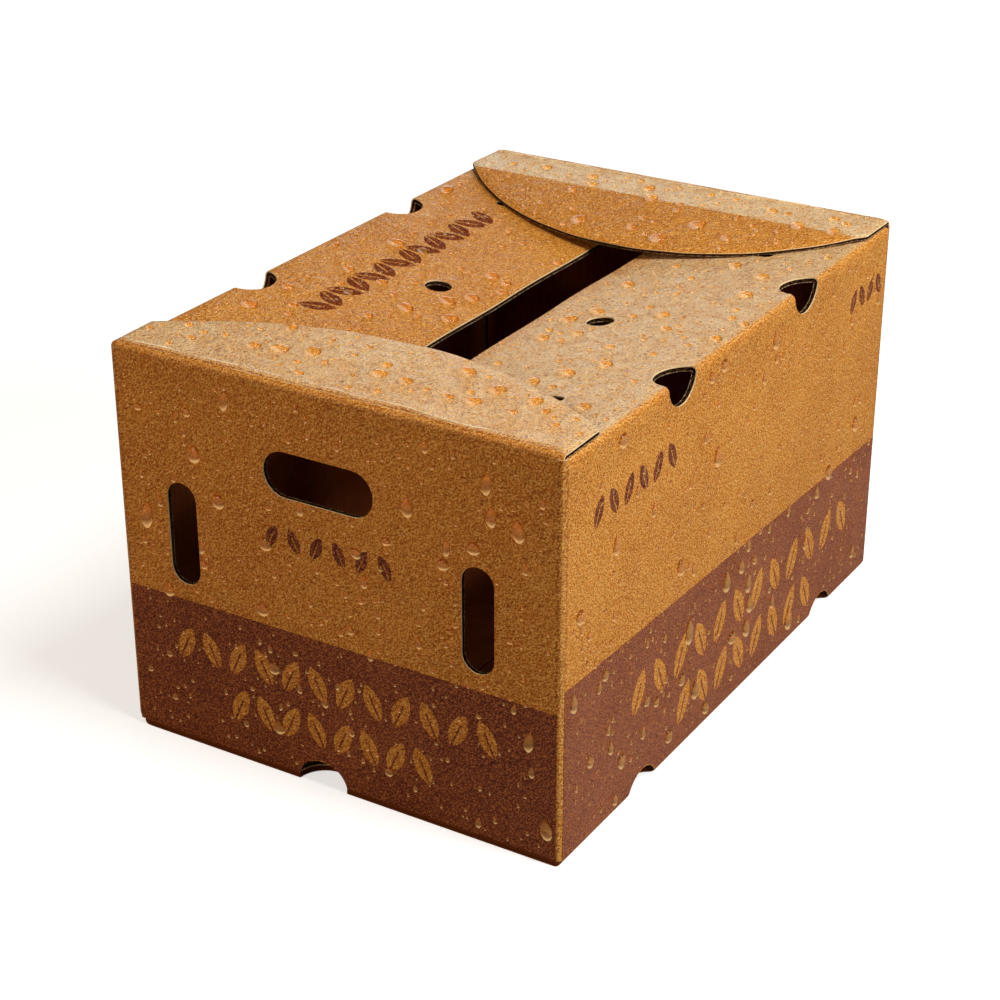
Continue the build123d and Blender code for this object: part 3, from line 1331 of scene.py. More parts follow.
@dataclass
class Rain:
    """Where the drops fall: how many on each face of the carton, and how large."""

    blank: Blank
    flaps: Sequence[EndFlap]
    seed: int = 11
    wall_density: float = 4300.0
    top_density: float = 6000.0
    smallest: float = 1.9 * MM
    largest: float = 13 * MM
    near_hinge: float = 0.30
    run_share: float = 0.65
    lean: float = 0.12
    apart: float = 0.75
    hole_margin: float = 0.6
    corner_margin: float = 7 * MM
    foot_margin: float = 10 * MM
    head_margin: float = 4 * MM
    fold_margin: float = 3 * MM
    edge_margin: float = 8 * MM
    flap_start: float = 22 * MM
    flap_shelter: float = 4 * MM
    flap_edge: float = 2 * MM
    probe: float = 0.5 * MM
    draw: random.Random = field(init=False)

    def __post_init__(self) -> None:
        """Start the draws."""
        self.draw = random.Random(self.seed)

    def _size(self, spread_out: float, largest: float) -> float:
        """Draw a drop's width: many small ones and a few large."""
        return min(self.smallest / (1 - self.draw.random()) ** spread_out, largest)

    def _spot(
        self,
        place: Callable[[float, float, float], Point],
        u: float,
        v: float,
        down: Vector | None,
        room: float = 1.0,
    ) -> Spot:
        """Make one spot on a sheet.

        Args:
            place: folds a point of the flat sheet.
            u: along the sheet.
            v: up the sheet.
            down: the way that water runs, or none on top.
            room: the widest that a drop may be there.

        Returns:
            The spot.
        """
        here = Vector(place(u, v, 0.0))
        ahead = Vector(place(u + self.probe, v, 0.0)) - here
        normal = ahead.cross(Vector(place(u, v + self.probe, 0.0)) - here)
        turn = self.draw.uniform(0, math.tau)
        if down is None:
            heading = Vector((math.cos(turn), math.sin(turn), 0))
            return Spot(here, normal, heading, self._size(0.56, min(self.largest, room)), Lie.BEAD)
        lie = Lie.RUN if self.draw.random() < self.run_share else Lie.BEAD
        heading = down + Vector((self.lean * math.cos(turn), self.lean * math.sin(turn), 0))
        return Spot(here, normal, heading, self._size(0.42, min(0.85 * self.largest, room)), lie)

    def _clear(self, u: float, v: float, size: float) -> bool:
        """Whether a drop on the flat blank is clear of its holes.

        Args:
            u: along the sheet.
            v: up the sheet.
            size: the drop's width.

        Returns:
            True where it is clear.
        """
        margin = size * self.hole_margin
        for outline in self.blank.holes:
            low_u, high_u = min(p[0] for p in outline), max(p[0] for p in outline)
            low_v, high_v = min(p[1] for p in outline), max(p[1] for p in outline)
            if low_u - margin < u < high_u + margin and low_v - margin < v < high_v + margin:
                return False
        return True

    def on_walls(self) -> list[Spot]:
        """Find the spots on the four walls.

        Returns:
            The spots.
        """
        plan = self.blank.plan
        down = Vector((0.0, 0.0, -1.0))
        spots = []
        for panel in (Panel.LEFT, Panel.NEAR, Panel.RIGHT, Panel.FAR):
            start = self.blank.footprint.starts[panel]
            run = self.blank.footprint.runs[panel]
            top = plan.side_top - plan.stock.fold_radius - self.head_margin
            for _ in range(int(run * top * self.wall_density)):
                u = start + self.draw.uniform(self.corner_margin, run - self.corner_margin)
                v = self.draw.uniform(self.foot_margin, top)
                room = self.near_hinge * (plan.height - v) if panel in END_WALLS else 1.0
                spot = self._spot(self.blank.place, u, v, down, room)
                if self._clear(u, v, spot.size):
                    spots.append(spot)
        return self._thin(spots)

    def on_side_flaps(self) -> list[Spot]:
        """Find the spots on the two side flaps, clear of the end flaps over them.

        Returns:
            The spots.
        """
        plan = self.blank.plan
        fold = self.blank.top_fold
        spots = []
        for panel in SIDE_WALLS:
            start = self.blank.footprint.starts[panel]
            run = self.blank.footprint.runs[panel]
            for _ in range(int(run * plan.side_flap_reach * self.top_density)):
                u = start + self.draw.uniform(0, run)
                v = fold.end + self.draw.uniform(self.fold_margin, plan.side_flap_reach - self.edge_margin)
                spot = self._spot(self.blank.place, u, v, None)
                covered = any(flap.covers(spot.place, self.flap_shelter + spot.size) for flap in self.flaps)
                if not covered and self._clear(u, v, spot.size):
                    spots.append(spot)
        return self._thin(spots)

    def on_flap(self, flap: EndFlap) -> list[Spot]:
        """Find the spots on one end flap.

        Args:
            flap: the flap.

        Returns:
            The spots.
        """
        half = flap.plan.width / 2
        spots = []
        for _ in range(int(2 * half * flap.reach * self.top_density)):
            u = self.draw.uniform(-half, half)
            v = self.draw.uniform(self.flap_start, flap.reach)
            spot = self._spot(flap.place, u, v, None, self.near_hinge * v)
            if flap.covers(spot.place, -self.flap_edge - self.hole_margin * spot.size):
                spots.append(spot)
        return self._thin(spots)

    def _parted(self, one: Spot, other: Spot) -> bool:
        """Whether two spots lie far enough apart."""
        return (one.place - other.place).length > self.apart * (one.size + other.size)

    def _thin(self, spots: Sequence[Spot]) -> list[Spot]:
        """Leave out each spot that lies on a larger one.

        Args:
            spots: the spots.

        Returns:
            The spots that stay, the largest first.
        """
        kept: list[Spot] = []
        for spot in sorted(spots, key=lambda one: -one.size):
            if all(self._parted(spot, other) for other in kept):
                kept.append(spot)
        return kept


# Finishes


class Nodes:
    """A short way to write the nodes of a material or a world."""

    def __init__(self, name: str, world: bool = False) -> None:
        """Start a material or a world.

        Args:
            name: its name.
            world: whether it is a world.
        """
        self.owner = (bpy.data.worlds if world else bpy.data.materials).new(name)
        self.owner.use_nodes = True
        self.tree = self.owner.node_tree
        self.tree.nodes.clear()
        self.output = self.node("OutputWorld" if world else "OutputMaterial")
        self.place = self.node("TexCoord").outputs["Object"]

    def node(self, kind: str, inputs: dict | None = None, **settings: object) -> bpy.types.Node:
        """Add a node.

        Args:
            kind: the node's type, without its prefix.
            inputs: values or sockets for its inputs, by name or number.
            settings: the node's own settings.

        Returns:
            The node.
        """
        node = self.tree.nodes.new("ShaderNode" + kind)
        for name, value in settings.items():
            setattr(node, name, value)
        for name, value in (inputs or {}).items():
            if isinstance(value, Socket):
                self.tree.links.new(value, node.inputs[name])
            else:
                node.inputs[name].default_value = value
        return node

    def math(self, operation: str, first: Value, second: Value = 0.0, clamp: bool = False) -> Socket:
        """One sum on numbers.

        Args:
            operation: the Math node's operation.
            first: a value or a socket.
            second: a value or a socket.
            clamp: whether the result is kept between 0 and 1.

        Returns:
            The result.
        """
        node = self.node("Math", {0: first, 1: second}, operation=operation, use_clamp=clamp)
        return node.outputs[0]

    def hypotenuse(self, first: Value, second: Value) -> Socket:
        """Length of the slope over two sides at right angles."""
        squares = [self.math("POWER", side, 2.0) for side in (first, second)]
        return self.math("SQRT", self.math("ADD", *squares))

    def axes(self, vector: Socket | None = None) -> list[Socket]:
        """The X, Y and Z of a vector, or of the piece's own coordinates."""
        return list(self.node("SeparateXYZ", {0: vector or self.place}).outputs)

    def attribute(self, name: str, output: str) -> Socket:
        """What the mesh keeps at its points under a name."""
        return self.node("Attribute", attribute_name=name, attribute_type="GEOMETRY").outputs[output]

    def ramp(
        self, value: Socket, low: float, high: float, to_low: float = 0.0, to_high: float = 1.0
    ) -> Socket:
        """A smooth step from one level to another.

        Args:
            value: the socket that drives it.
            low: where it starts.
            high: where it ends.
            to_low: the result before the start.
            to_high: the result after the end.

        Returns:
            The result.
        """
        inputs = {0: value, 1: low, 2: high, 3: to_low, 4: to_high}
        return self.node("MapRange", inputs, interpolation_type="SMOOTHSTEP").outputs[0]

    def mix(self, factor: Value, first: Tint, second: Tint) -> Socket:
        """Mix two colours.

        Args:
            factor: how much of the second, as a value or a socket.
            first: a colour or a socket.
            second: a colour or a socket.

        Returns:
            The mixed colour.
        """
        ends = [end if isinstance(end, Socket) else (*end, 1.0) for end in (first, second)]
        return self.node("Mix", {0: factor, 6: ends[0], 7: ends[1]}, data_type="RGBA").outputs[2]

    def noise(
        self, scale: float, detail: float, rough: float, vector: Socket | None = None, **more: float
    ) -> Socket:
        """Noise on the piece's own coordinates.

        Args:
            scale: its scale for each metre.
            detail: its octaves.
            rough: how strong the finer ones are.
            vector: other coordinates, if any.
            more: further inputs of the node.

        Returns:
            The noise, about 0.5 on average.
        """
        inputs = {"Vector": vector or self.place, "Scale": scale, "Detail": detail, "Roughness": rough}
        return self.node("TexNoise", {**inputs, **more}).outputs[0]

    def finish(self, shader: bpy.types.Node) -> bpy.types.ID:
        """Connect the shader to the output and return the material or world."""
        self.tree.links.new(shader.outputs[0], self.output.inputs["Surface"])
        return self.owner

    def surface(self, inputs: dict) -> Material:
        """Finish the material with one shader that takes these inputs."""
        return self.finish(self.node("BsdfPrincipled", inputs))


class MistSheen(Enum):
    """Where a pale tone lies on a piece of board: partly a film of fine drops, partly painted sheen."""

    NONE = 0
    FLAP = 1
    FOLD = 2
    RIGHT_FLAP = 3


class Skin:
    """The waxed, wet surface that board and print share: peel, crumples and fine drops, and the painted
    shade and painted highlights laid over them.
    """

    # The way that the painted lit foot of each fine drop faces, and the offset that sets the way of the
    # painted light on the peel.
    drop_light_way: Point = (0.35, -0.55, -1.0)
    relief_light_way: Point = (-0.4 * MM, 0.3 * MM, 0.5 * MM)

    def __init__(self, nodes: Nodes) -> None:
        """Work out the surface's relief.

        Args:
            nodes: the material's nodes.
        """
        self.nodes = nodes
        self.peel = nodes.noise(600, 2, 0.6)
        shifted = nodes.node("VectorMath", {0: nodes.place, 1: self.relief_light_way}, operation="ADD")
        beside = nodes.noise(600, 2, 0.6, vector=shifted.outputs[0])
        self.specks = nodes.noise(760, 1, 0.5)
        # The peel minus a shifted copy: tint paints it as shade and highlight on the slopes, not as relief.
        self.relief_shading = nodes.math("SUBTRACT", self.peel, beside)
        self.crumple = nodes.noise(70, 4, 0.6, Distortion=0.9)
        self.fine = self._drops(240.0, 0.30, 0.42)
        self.coarse = self._drops(140.0, 0.52, 0.36)

    def _drops(self, scale: float, share: float, reach: float) -> tuple[Socket, Socket]:
        """Scatter flat drops, one at most in each cell.

        Args:
            scale: cells for each metre.
            share: the share of the cells that stay dry.
            reach: the widest drop's radius, as a share of its cell.

        Returns:
            How far inside a drop the point is, and how far it lies towards the drop's painted lit foot.
        """
        nodes = self.nodes
        cells = nodes.node("TexVoronoi", {"Vector": nodes.place, "Scale": scale, "Randomness": 0.9})
        draw = nodes.node("SeparateColor", {0: cells.outputs["Color"]})
        wet = nodes.math("GREATER_THAN", draw.outputs[0], share)
        radius = nodes.math("ADD", nodes.math("MULTIPLY", draw.outputs[1], 0.6), 0.4)
        radius = nodes.math("MULTIPLY", radius, reach)
        inside = nodes.math("DIVIDE", cells.outputs["Distance"], radius)
        inside = nodes.math("SUBTRACT", 1.0, inside, clamp=True)
        inside = nodes.math("MULTIPLY", inside, wet)
        away = nodes.node("VectorMath", {0: nodes.place, 1: cells.outputs["Position"]}, operation="SUBTRACT")
        slope = nodes.node("VectorMath", {0: away.outputs[0], 1: self.drop_light_way}, operation="DOT_PRODUCT")
        fall = nodes.math("DIVIDE", nodes.math("MULTIPLY", slope.outputs["Value"], scale), radius)
        return inside, fall

    def tint(self, colour: Socket, painted_shade: Colour, glint: Colour, depth: float) -> Socket:
        """Paint shade and highlights into the colour: on the peel's slopes, on fine specks, and at the head
        and foot of each fine drop.

        Args:
            colour: the plain colour.
            painted_shade: the colour of painted shade on the peel's slopes, on dark specks and at a drop's
                head.
            glint: the colour of painted highlights on the peel's slopes, on bright specks and at a drop's
                foot.
            depth: how strongly the painted shade and highlights show.

        Returns:
            The colour.
        """
        nodes = self.nodes
        # Painted shade and painted highlight on the peel's slopes.
        colour = nodes.mix(nodes.ramp(self.relief_shading, 0.01, 0.12, 0.0, depth), colour, painted_shade)
        colour = nodes.mix(nodes.ramp(self.relief_shading, -0.02, -0.13, 0.0, depth), colour, glint)
        # Fine specks: painted shade and painted glints.
        colour = nodes.mix(nodes.ramp(self.specks, 0.44, 0.34, 0.0, 0.8 * depth), colour, painted_shade)
        colour = nodes.mix(nodes.ramp(self.specks, 0.57, 0.67, 0.0, 1.3 * depth), colour, glint)
        # Painted shade at each fine drop's head and a painted highlight at its foot.
        for inside, fall in (self.fine, self.coarse):
            mask = nodes.ramp(inside, 0.02, 0.22)
            lit = nodes.math("MULTIPLY", mask, nodes.ramp(fall, 0.0, 0.7, 0.0, 0.9))
            dim = nodes.math("MULTIPLY", mask, nodes.ramp(fall, 0.0, -0.7, 0.0, 0.8))
            colour = nodes.mix(dim, colour, painted_shade)
            colour = nodes.mix(lit, colour, glint)
        return colour

    def bump(
        self, peel: float = 0.45 * MM, crumple: float = 1.6 * MM, drops: float = 0.35 * MM
    ) -> Socket:
        """The surface's relief as a normal.

        Args:
            peel: depth of the peel.
            crumple: depth of the crumples.
            drops: height of the fine drops.

        Returns:
            The normal.
        """
        nodes = self.nodes
        deeper = nodes.ramp(nodes.axes()[2], 0.300, 0.325, 0.5 * crumple, 1.5 * crumple)
        dents = nodes.math("MULTIPLY", self.crumple, deeper)
        height = nodes.math("ADD", nodes.math("MULTIPLY", self.peel, peel), dents)
        for (inside, _), share in ((self.fine, 0.6), (self.coarse, 1.0)):
            dome = nodes.math("SQRT", inside)
            height = nodes.math("ADD", height, nodes.math("MULTIPLY", dome, drops * share))
        return nodes.node("Bump", {"Height": height, "Strength": 1.0, "Distance": 1.0}).outputs[0]

    def roughness(self, dry: float) -> Socket:
        """Roughness that falls where there are drops.

        Args:
            dry: the dry board's roughness.

        Returns:
            The roughness.
        """
        nodes = self.nodes
        patches = nodes.ramp(nodes.noise(34, 3, 0.6), 0.35, 0.65, dry + 0.07, dry - 0.07)
        wet = nodes.math("MAXIMUM", self.fine[0], self.coarse[0])
        return nodes.math("SUBTRACT", patches, nodes.ramp(wet, 0.02, 0.2, 0.0, dry - 0.16), clamp=True)


@dataclass(frozen=True)
class WaxedKraft:
    """Kraft liner soaked in wax: mottled, peeled like an orange, worn pale along its folds, with painted
    shade along its score lines and wrinkle trough, painted highlights on its peel and wrinkle crest, and a
    paler tone that is partly a film of fine drops and partly painted sheen.
    """

    plan: CartonPlan
    name: str = "waxed_kraft"
    base: Colour = (0.56, 0.175, 0.008)
    pale: Colour = (0.66, 0.240, 0.020)
    # Next two: the painted shade and the painted highlights of the peel, specks and fine drops.
    deep: Colour = (0.26, 0.060, 0.001)
    glint: Colour = (0.90, 0.50, 0.13)
    worn: Colour = (0.68, 0.36, 0.12)
    # Next: painted shade along the score lines and in the trough beside an end flap's wrinkle.
    crease: Colour = (0.30, 0.075, 0.008)
    # Next: the pale tone of a film of fine drops and painted sheen.
    mist_sheen_tone: Colour = (0.96, 0.78, 0.49)
    # Next: a painted highlight on the wrinkle's crest.
    painted_gleam: Colour = (0.98, 0.82, 0.56)
    mist_sheen: MistSheen = MistSheen.NONE
    roughness: float = 0.34
    gloss: float = 0.28

    def make(self) -> Material:
        """Build the material.

        Returns:
            The material.
        """
        nodes = Nodes(self.name)
        skin = Skin(nodes)
        clouds = nodes.noise(11, 5, 0.62)
        colour = nodes.mix(nodes.ramp(clouds, 0.35, 0.68), self.base, self.pale)
        colour = self._wear(nodes, colour)
        crest = nodes.attribute("crest", "Fac")
        # Pale tone, partly fine drops and partly painted sheen, broken by the crumples.
        mist_sheen = self._mist_sheen(nodes)
        if mist_sheen is not None:
            broken = nodes.ramp(skin.crumple, 0.36, 0.60, 0.70, 1.20)
            colour = nodes.mix(nodes.math("MULTIPLY", mist_sheen, broken, clamp=True), colour, self.mist_sheen_tone)
        # Painted shade in the trough beside the wrinkle.
        colour = nodes.mix(nodes.ramp(crest, -0.08, -0.34, 0.0, 0.85), colour, self.crease)
        colour = skin.tint(colour, self.deep, self.glint, 0.7)
        # Painted highlight on the wrinkle's crest.
        colour = nodes.mix(nodes.ramp(crest, 0.38, 0.80, 0.0, 0.9), colour, self.painted_gleam)
        inputs = {"Base Color": colour, "Roughness": skin.roughness(self.roughness), "Normal": skin.bump()}
        return nodes.surface({**inputs, "Specular IOR Level": self.gloss})

    def _mist_sheen(self, nodes: Nodes) -> Socket | None:
        """How thick the pale tone lies: partly a film of fine drops, partly painted sheen that stands in for
        the reflection of the low light behind the carton.

        Args:
            nodes: the material's nodes.

        Returns:
            The share of the pale tone, or none where the finish has none.
        """
        if self.mist_sheen is MistSheen.NONE:
            return None
        x, y, z = nodes.axes()
        half_length, half_width = self.plan.length / 2, self.plan.width / 2
        drift = nodes.noise(13, 4, 0.6)
        if self.mist_sheen is MistSheen.FLAP:
            past = nodes.math("ADD", y, nodes.math("MULTIPLY", nodes.noise(45, 3, 0.6), 6 * MM))
            edge = 12 * MM - half_length
            band = nodes.ramp(y, edge - 8.5 * MM, edge - 7.5 * MM, 0.0, 0.75)
            past = nodes.math("MAXIMUM", nodes.ramp(past, edge - 1 * MM, edge + 1.5 * MM), band)
            return nodes.math("MULTIPLY", past, nodes.ramp(drift, 0.30, 0.66, 0.52, 0.74))
        # The far flap's strip up to its crease gets the painted sheen; the tilted tab beyond it does not.
        if self.mist_sheen is MistSheen.FOLD:
            place = nodes.math("ADD", y, nodes.math("MULTIPLY", drift, 4 * MM))
            edge = half_length - 57.5 * MM
            rim = nodes.ramp(y, half_length - 2 * MM, half_length - 5 * MM)
            return nodes.math("MULTIPLY", nodes.ramp(place, edge - 1.5 * MM, edge + 2 * MM, 0.0, 0.85), rim)
        place = nodes.math("MULTIPLY", drift, 60 * MM)
        top = nodes.ramp(z, self.plan.side_top - 24 * MM, self.plan.side_top - 22 * MM)
        inside = nodes.ramp(x, half_width - 1 * MM, half_width - 6 * MM)
        right = nodes.ramp(nodes.math("SUBTRACT", x, place), -30 * MM, 20 * MM, 0.0, 0.72)
        end = half_length - self.plan.stock.thickness
        away = nodes.ramp(nodes.math("ABSOLUTE", y), end, end - 1 * MM)
        inside = nodes.math("MULTIPLY", top, inside)
        return nodes.math("MULTIPLY", inside, nodes.math("MULTIPLY", right, away))

    def _wear(self, nodes: Nodes, colour: Socket) -> Socket:
        """Rub the upright folds and the foot of the walls pale, and paint shade along the score lines beside
        the upright corners.

        Args:
            nodes: the material's nodes.
            colour: the board's colour.

        Returns:
            The worn colour.
        """
        x, y, z = nodes.axes()
        x_gap = nodes.math("SUBTRACT", self.plan.width / 2, nodes.math("ABSOLUTE", x))
        y_gap = nodes.math("SUBTRACT", self.plan.length / 2, nodes.math("ABSOLUTE", y))
        corner = nodes.math("MAXIMUM", x_gap, y_gap)
        ragged = nodes.math("MULTIPLY", nodes.noise(70, 4, 0.7), 2.5 * MM)
        corner = nodes.math("ADD", corner, ragged)
        rubbed = nodes.ramp(corner, 2.7 * MM, 3.7 * MM, 0.9, 0.0)
        # Painted shade along the score line beside each upright corner.
        score = nodes.math("ABSOLUTE", nodes.math("SUBTRACT", corner, 6.2 * MM))
        score = nodes.ramp(score, 0.3 * MM, 1.6 * MM, 0.75, 0.0)
        foot = nodes.math("ADD", z, ragged)
        foot_rub = nodes.ramp(foot, 3.0 * MM, 6.5 * MM, 0.5, 0.0)
        fold = nodes.hypotenuse(x_gap, nodes.math("SUBTRACT", self.plan.side_top, z))
        fold = nodes.ramp(nodes.math("ADD", fold, ragged), 2.6 * MM, 4.4 * MM, 0.55, 0.0)
        brow = nodes.hypotenuse(y_gap, nodes.math("SUBTRACT", self.plan.height, z))
        brow = nodes.ramp(nodes.math("ADD", brow, ragged), 2.4 * MM, 4.0 * MM, 0.5, 0.0)
        rubbed = nodes.math("MAXIMUM", rubbed, nodes.math("MAXIMUM", fold, brow))
        colour = nodes.mix(score, colour, self.crease)
        return nodes.mix(nodes.math("MAXIMUM", rubbed, foot_rub), colour, self.worn)


@dataclass(frozen=True)
class InnerLiner:
    """The darker, plainer liner inside the carton, which shows the flutes behind it as faint waves."""

    stock: BoardStock
    name: str = "inner_liner"
    base: Colour = (0.44, 0.125, 0.030)
    deep: Colour = (0.28, 0.068, 0.016)
    roughness: float = 0.6
    gloss: float = 0.12

    def make(self) -> Material:
        """Build the material.

        Returns:
            The material.
        """
        nodes = Nodes(self.name)
        fibres = nodes.noise(300, 5, 0.7)
        clouds = nodes.noise(12, 4, 0.6)
        colour = nodes.mix(nodes.ramp(clouds, 0.35, 0.7), self.base, self.deep)
        colour = nodes.mix(nodes.ramp(fibres, 0.5, 0.7, 0.0, 0.5), colour, self.deep)
        along = nodes.axes(nodes.attribute("flat", "Vector"))[0]
        wave = nodes.math("SINE", nodes.math("MULTIPLY", along, math.tau / self.stock.flute_pitch))
        colour = nodes.mix(nodes.ramp(wave, 0.1, 1.0, 0.0, 0.3), colour, self.deep)
        height = nodes.math("ADD", nodes.math("MULTIPLY", fibres, 0.4), nodes.math("MULTIPLY", wave, 0.2))
        bump = nodes.node("Bump", {"Height": height, "Strength": 0.5, "Distance": 0.6 * MM})
        inputs = {"Base Color": colour, "Roughness": self.roughness, "Normal": bump.outputs[0]}
        return nodes.surface({**inputs, "Specular IOR Level": self.gloss})


@dataclass(frozen=True)
class CutEdge:
    """A cut edge of the board: two thin liners and the wavy flutes between them, with the hollows between
    the flutes painted near-black as shade.
    """

    stock: BoardStock
    name: str = "cut_edge"
    liner: Colour = (0.95, 0.70, 0.38)
    flute: Colour = (0.085, 0.035, 0.010)
    # Next: painted shade inside the hollows of the flutes.
    hollow_shade: Colour = (0.014, 0.005, 0.002)
    roughness: float = 0.8
    gloss: float = 0.03

    def make(self) -> Material:
        """Build the material.

        Returns:
            The material.
        """
        nodes = Nodes(self.name)
        along, _, up = nodes.axes(nodes.attribute("flat", "Vector"))
        wave = nodes.math("SINE", nodes.math("MULTIPLY", along, math.tau / self.stock.flute_pitch))
        depth = nodes.math("DIVIDE", nodes.math("MULTIPLY", up, -1.0), self.stock.thickness)
        middle = nodes.math("ADD", nodes.math("MULTIPLY", wave, 0.34), 0.5)
        away = nodes.math("ABSOLUTE", nodes.math("SUBTRACT", depth, middle))
        flute = nodes.ramp(away, 0.07, 0.15, 1.0, 0.0)
        # The hollows between the flutes are painted shade.
        colour = nodes.mix(flute, self.hollow_shade, self.flute)
        grain = nodes.noise(500, 3, 0.7)
        outer = nodes.ramp(depth, 0.20, 0.28, 1.0, 0.0)
        inner = nodes.ramp(grain, 0.45, 0.60, 0.1, 0.7)
        inner = nodes.math("MULTIPLY", nodes.ramp(depth, 0.86, 0.90), inner)
        colour = nodes.mix(nodes.math("MAXIMUM", outer, inner), colour, self.liner)
        inputs = {"Base Color": colour, "Roughness": self.roughness}
        return nodes.surface({**inputs, "Specular IOR Level": self.gloss})


@dataclass(frozen=True)
class Ink:
    """Print under the wax: worn to fine pale specks where the fibres stand up, with painted shade and
    painted highlights on its peel, specks and fine drops.
    """

    name: str
    base: Colour = (0.160, 0.026, 0.007)
    pale: Colour = (0.230, 0.050, 0.016)
    # Next: the painted shade of the peel, specks and fine drops.
    deep: Colour = (0.060, 0.006, 0.001)
    # Next: the uncovered board's colour of the worn specks, which also serves as the painted highlight.
    bare_and_glint: Colour = (0.56, 0.19, 0.05)
    mark: Colour = (0.105, 0.010, 0.006)
    mark_level: float = 0.133
    speckle: float = 0.5
    roughness: float = 0.38
    gloss: float = 0.30

    def make(self) -> Material:
        """Build the material.

        Returns:
            The material.
        """
        nodes = Nodes(self.name)
        skin = Skin(nodes)
        clouds = nodes.noise(11, 5, 0.62)
        colour = nodes.mix(nodes.ramp(clouds, 0.35, 0.68), self.base, self.pale)
        above = nodes.ramp(nodes.axes()[2], self.mark_level - 1 * MM, self.mark_level + 1 * MM)
        colour = nodes.mix(above, colour, self.mark)
        specks = nodes.noise(620, 3, 0.7)
        colour = nodes.mix(nodes.ramp(specks, 0.56, 0.70, 0.0, self.speckle), colour, self.bare_and_glint)
        # Painted shade and painted highlights on the peel, specks and fine drops.
        colour = skin.tint(colour, self.deep, self.bare_and_glint, 0.55)
        inputs = {"Base Color": colour, "Roughness": skin.roughness(self.roughness), "Normal": skin.bump()}
        return nodes.surface({**inputs, "Specular IOR Level": self.gloss})


@dataclass(frozen=True)
class ClearWater:
    """Clear water with painted light: painted shade at a drop's head, a painted highlight and a painted glow
    at its foot, set by the way its surface faces.

    Attributes:
        name: the material's name.
        lit_toward: the way that the painted lit foot of a drop faces.
        head: the painted shade on the side away from the foot.
        body: the tint of its crown.
        foot: the painted highlight on the lit side.
        painted_gleam: a painted glow at the foot, an emission that stands in for the light a lens gathers
            there.
        clear: the share of light that passes.
        glow: how bright that painted glow is.
        index: the index of refraction.
        roughness: how rough its surface is.
    """

    name: str
    lit_toward: Point
    head: Colour
    body: Colour
    foot: Colour
    painted_gleam: Colour
    clear: float
    glow: float
    index: float = 1.33
    roughness: float = 0.03

    def make(self) -> Material:
        """Build the material.

        Returns:
            The material.
        """
        nodes = Nodes(self.name)
        facing = nodes.node("NewGeometry").outputs["Normal"]
        slope = nodes.node("VectorMath", {0: facing, 1: self.lit_toward}, operation="DOT_PRODUCT")
        slope = slope.outputs["Value"]
        # Painted shade on the side away from the foot, and a painted highlight and glow on the foot.
        tint = nodes.mix(nodes.ramp(slope, -0.55, -0.18), self.head, self.body)
        lit = nodes.ramp(slope, 0.06, 0.40)
        tint = nodes.mix(lit, tint, self.foot)
        inputs = {
            "Base Color": tint,
            "Roughness": self.roughness,
            "IOR": self.index,
            "Transmission Weight": self.clear,
            "Emission Color": nodes.mix(lit, (0.0, 0.0, 0.0), self.painted_gleam),
            "Emission Strength": self.glow,
        }
        return nodes.surface(inputs)


# The studio


@dataclass(frozen=True)
class Lamp:
    """One soft lamp.

    Attributes:
        name: its name.
        place: where it hangs.
        size: its width.
        power: its power in watts.
        tint: its colour.
    """

    name: str
    place: Point
    size: float
    power: float
    tint: Colour = (1.0, 1.0, 1.0)


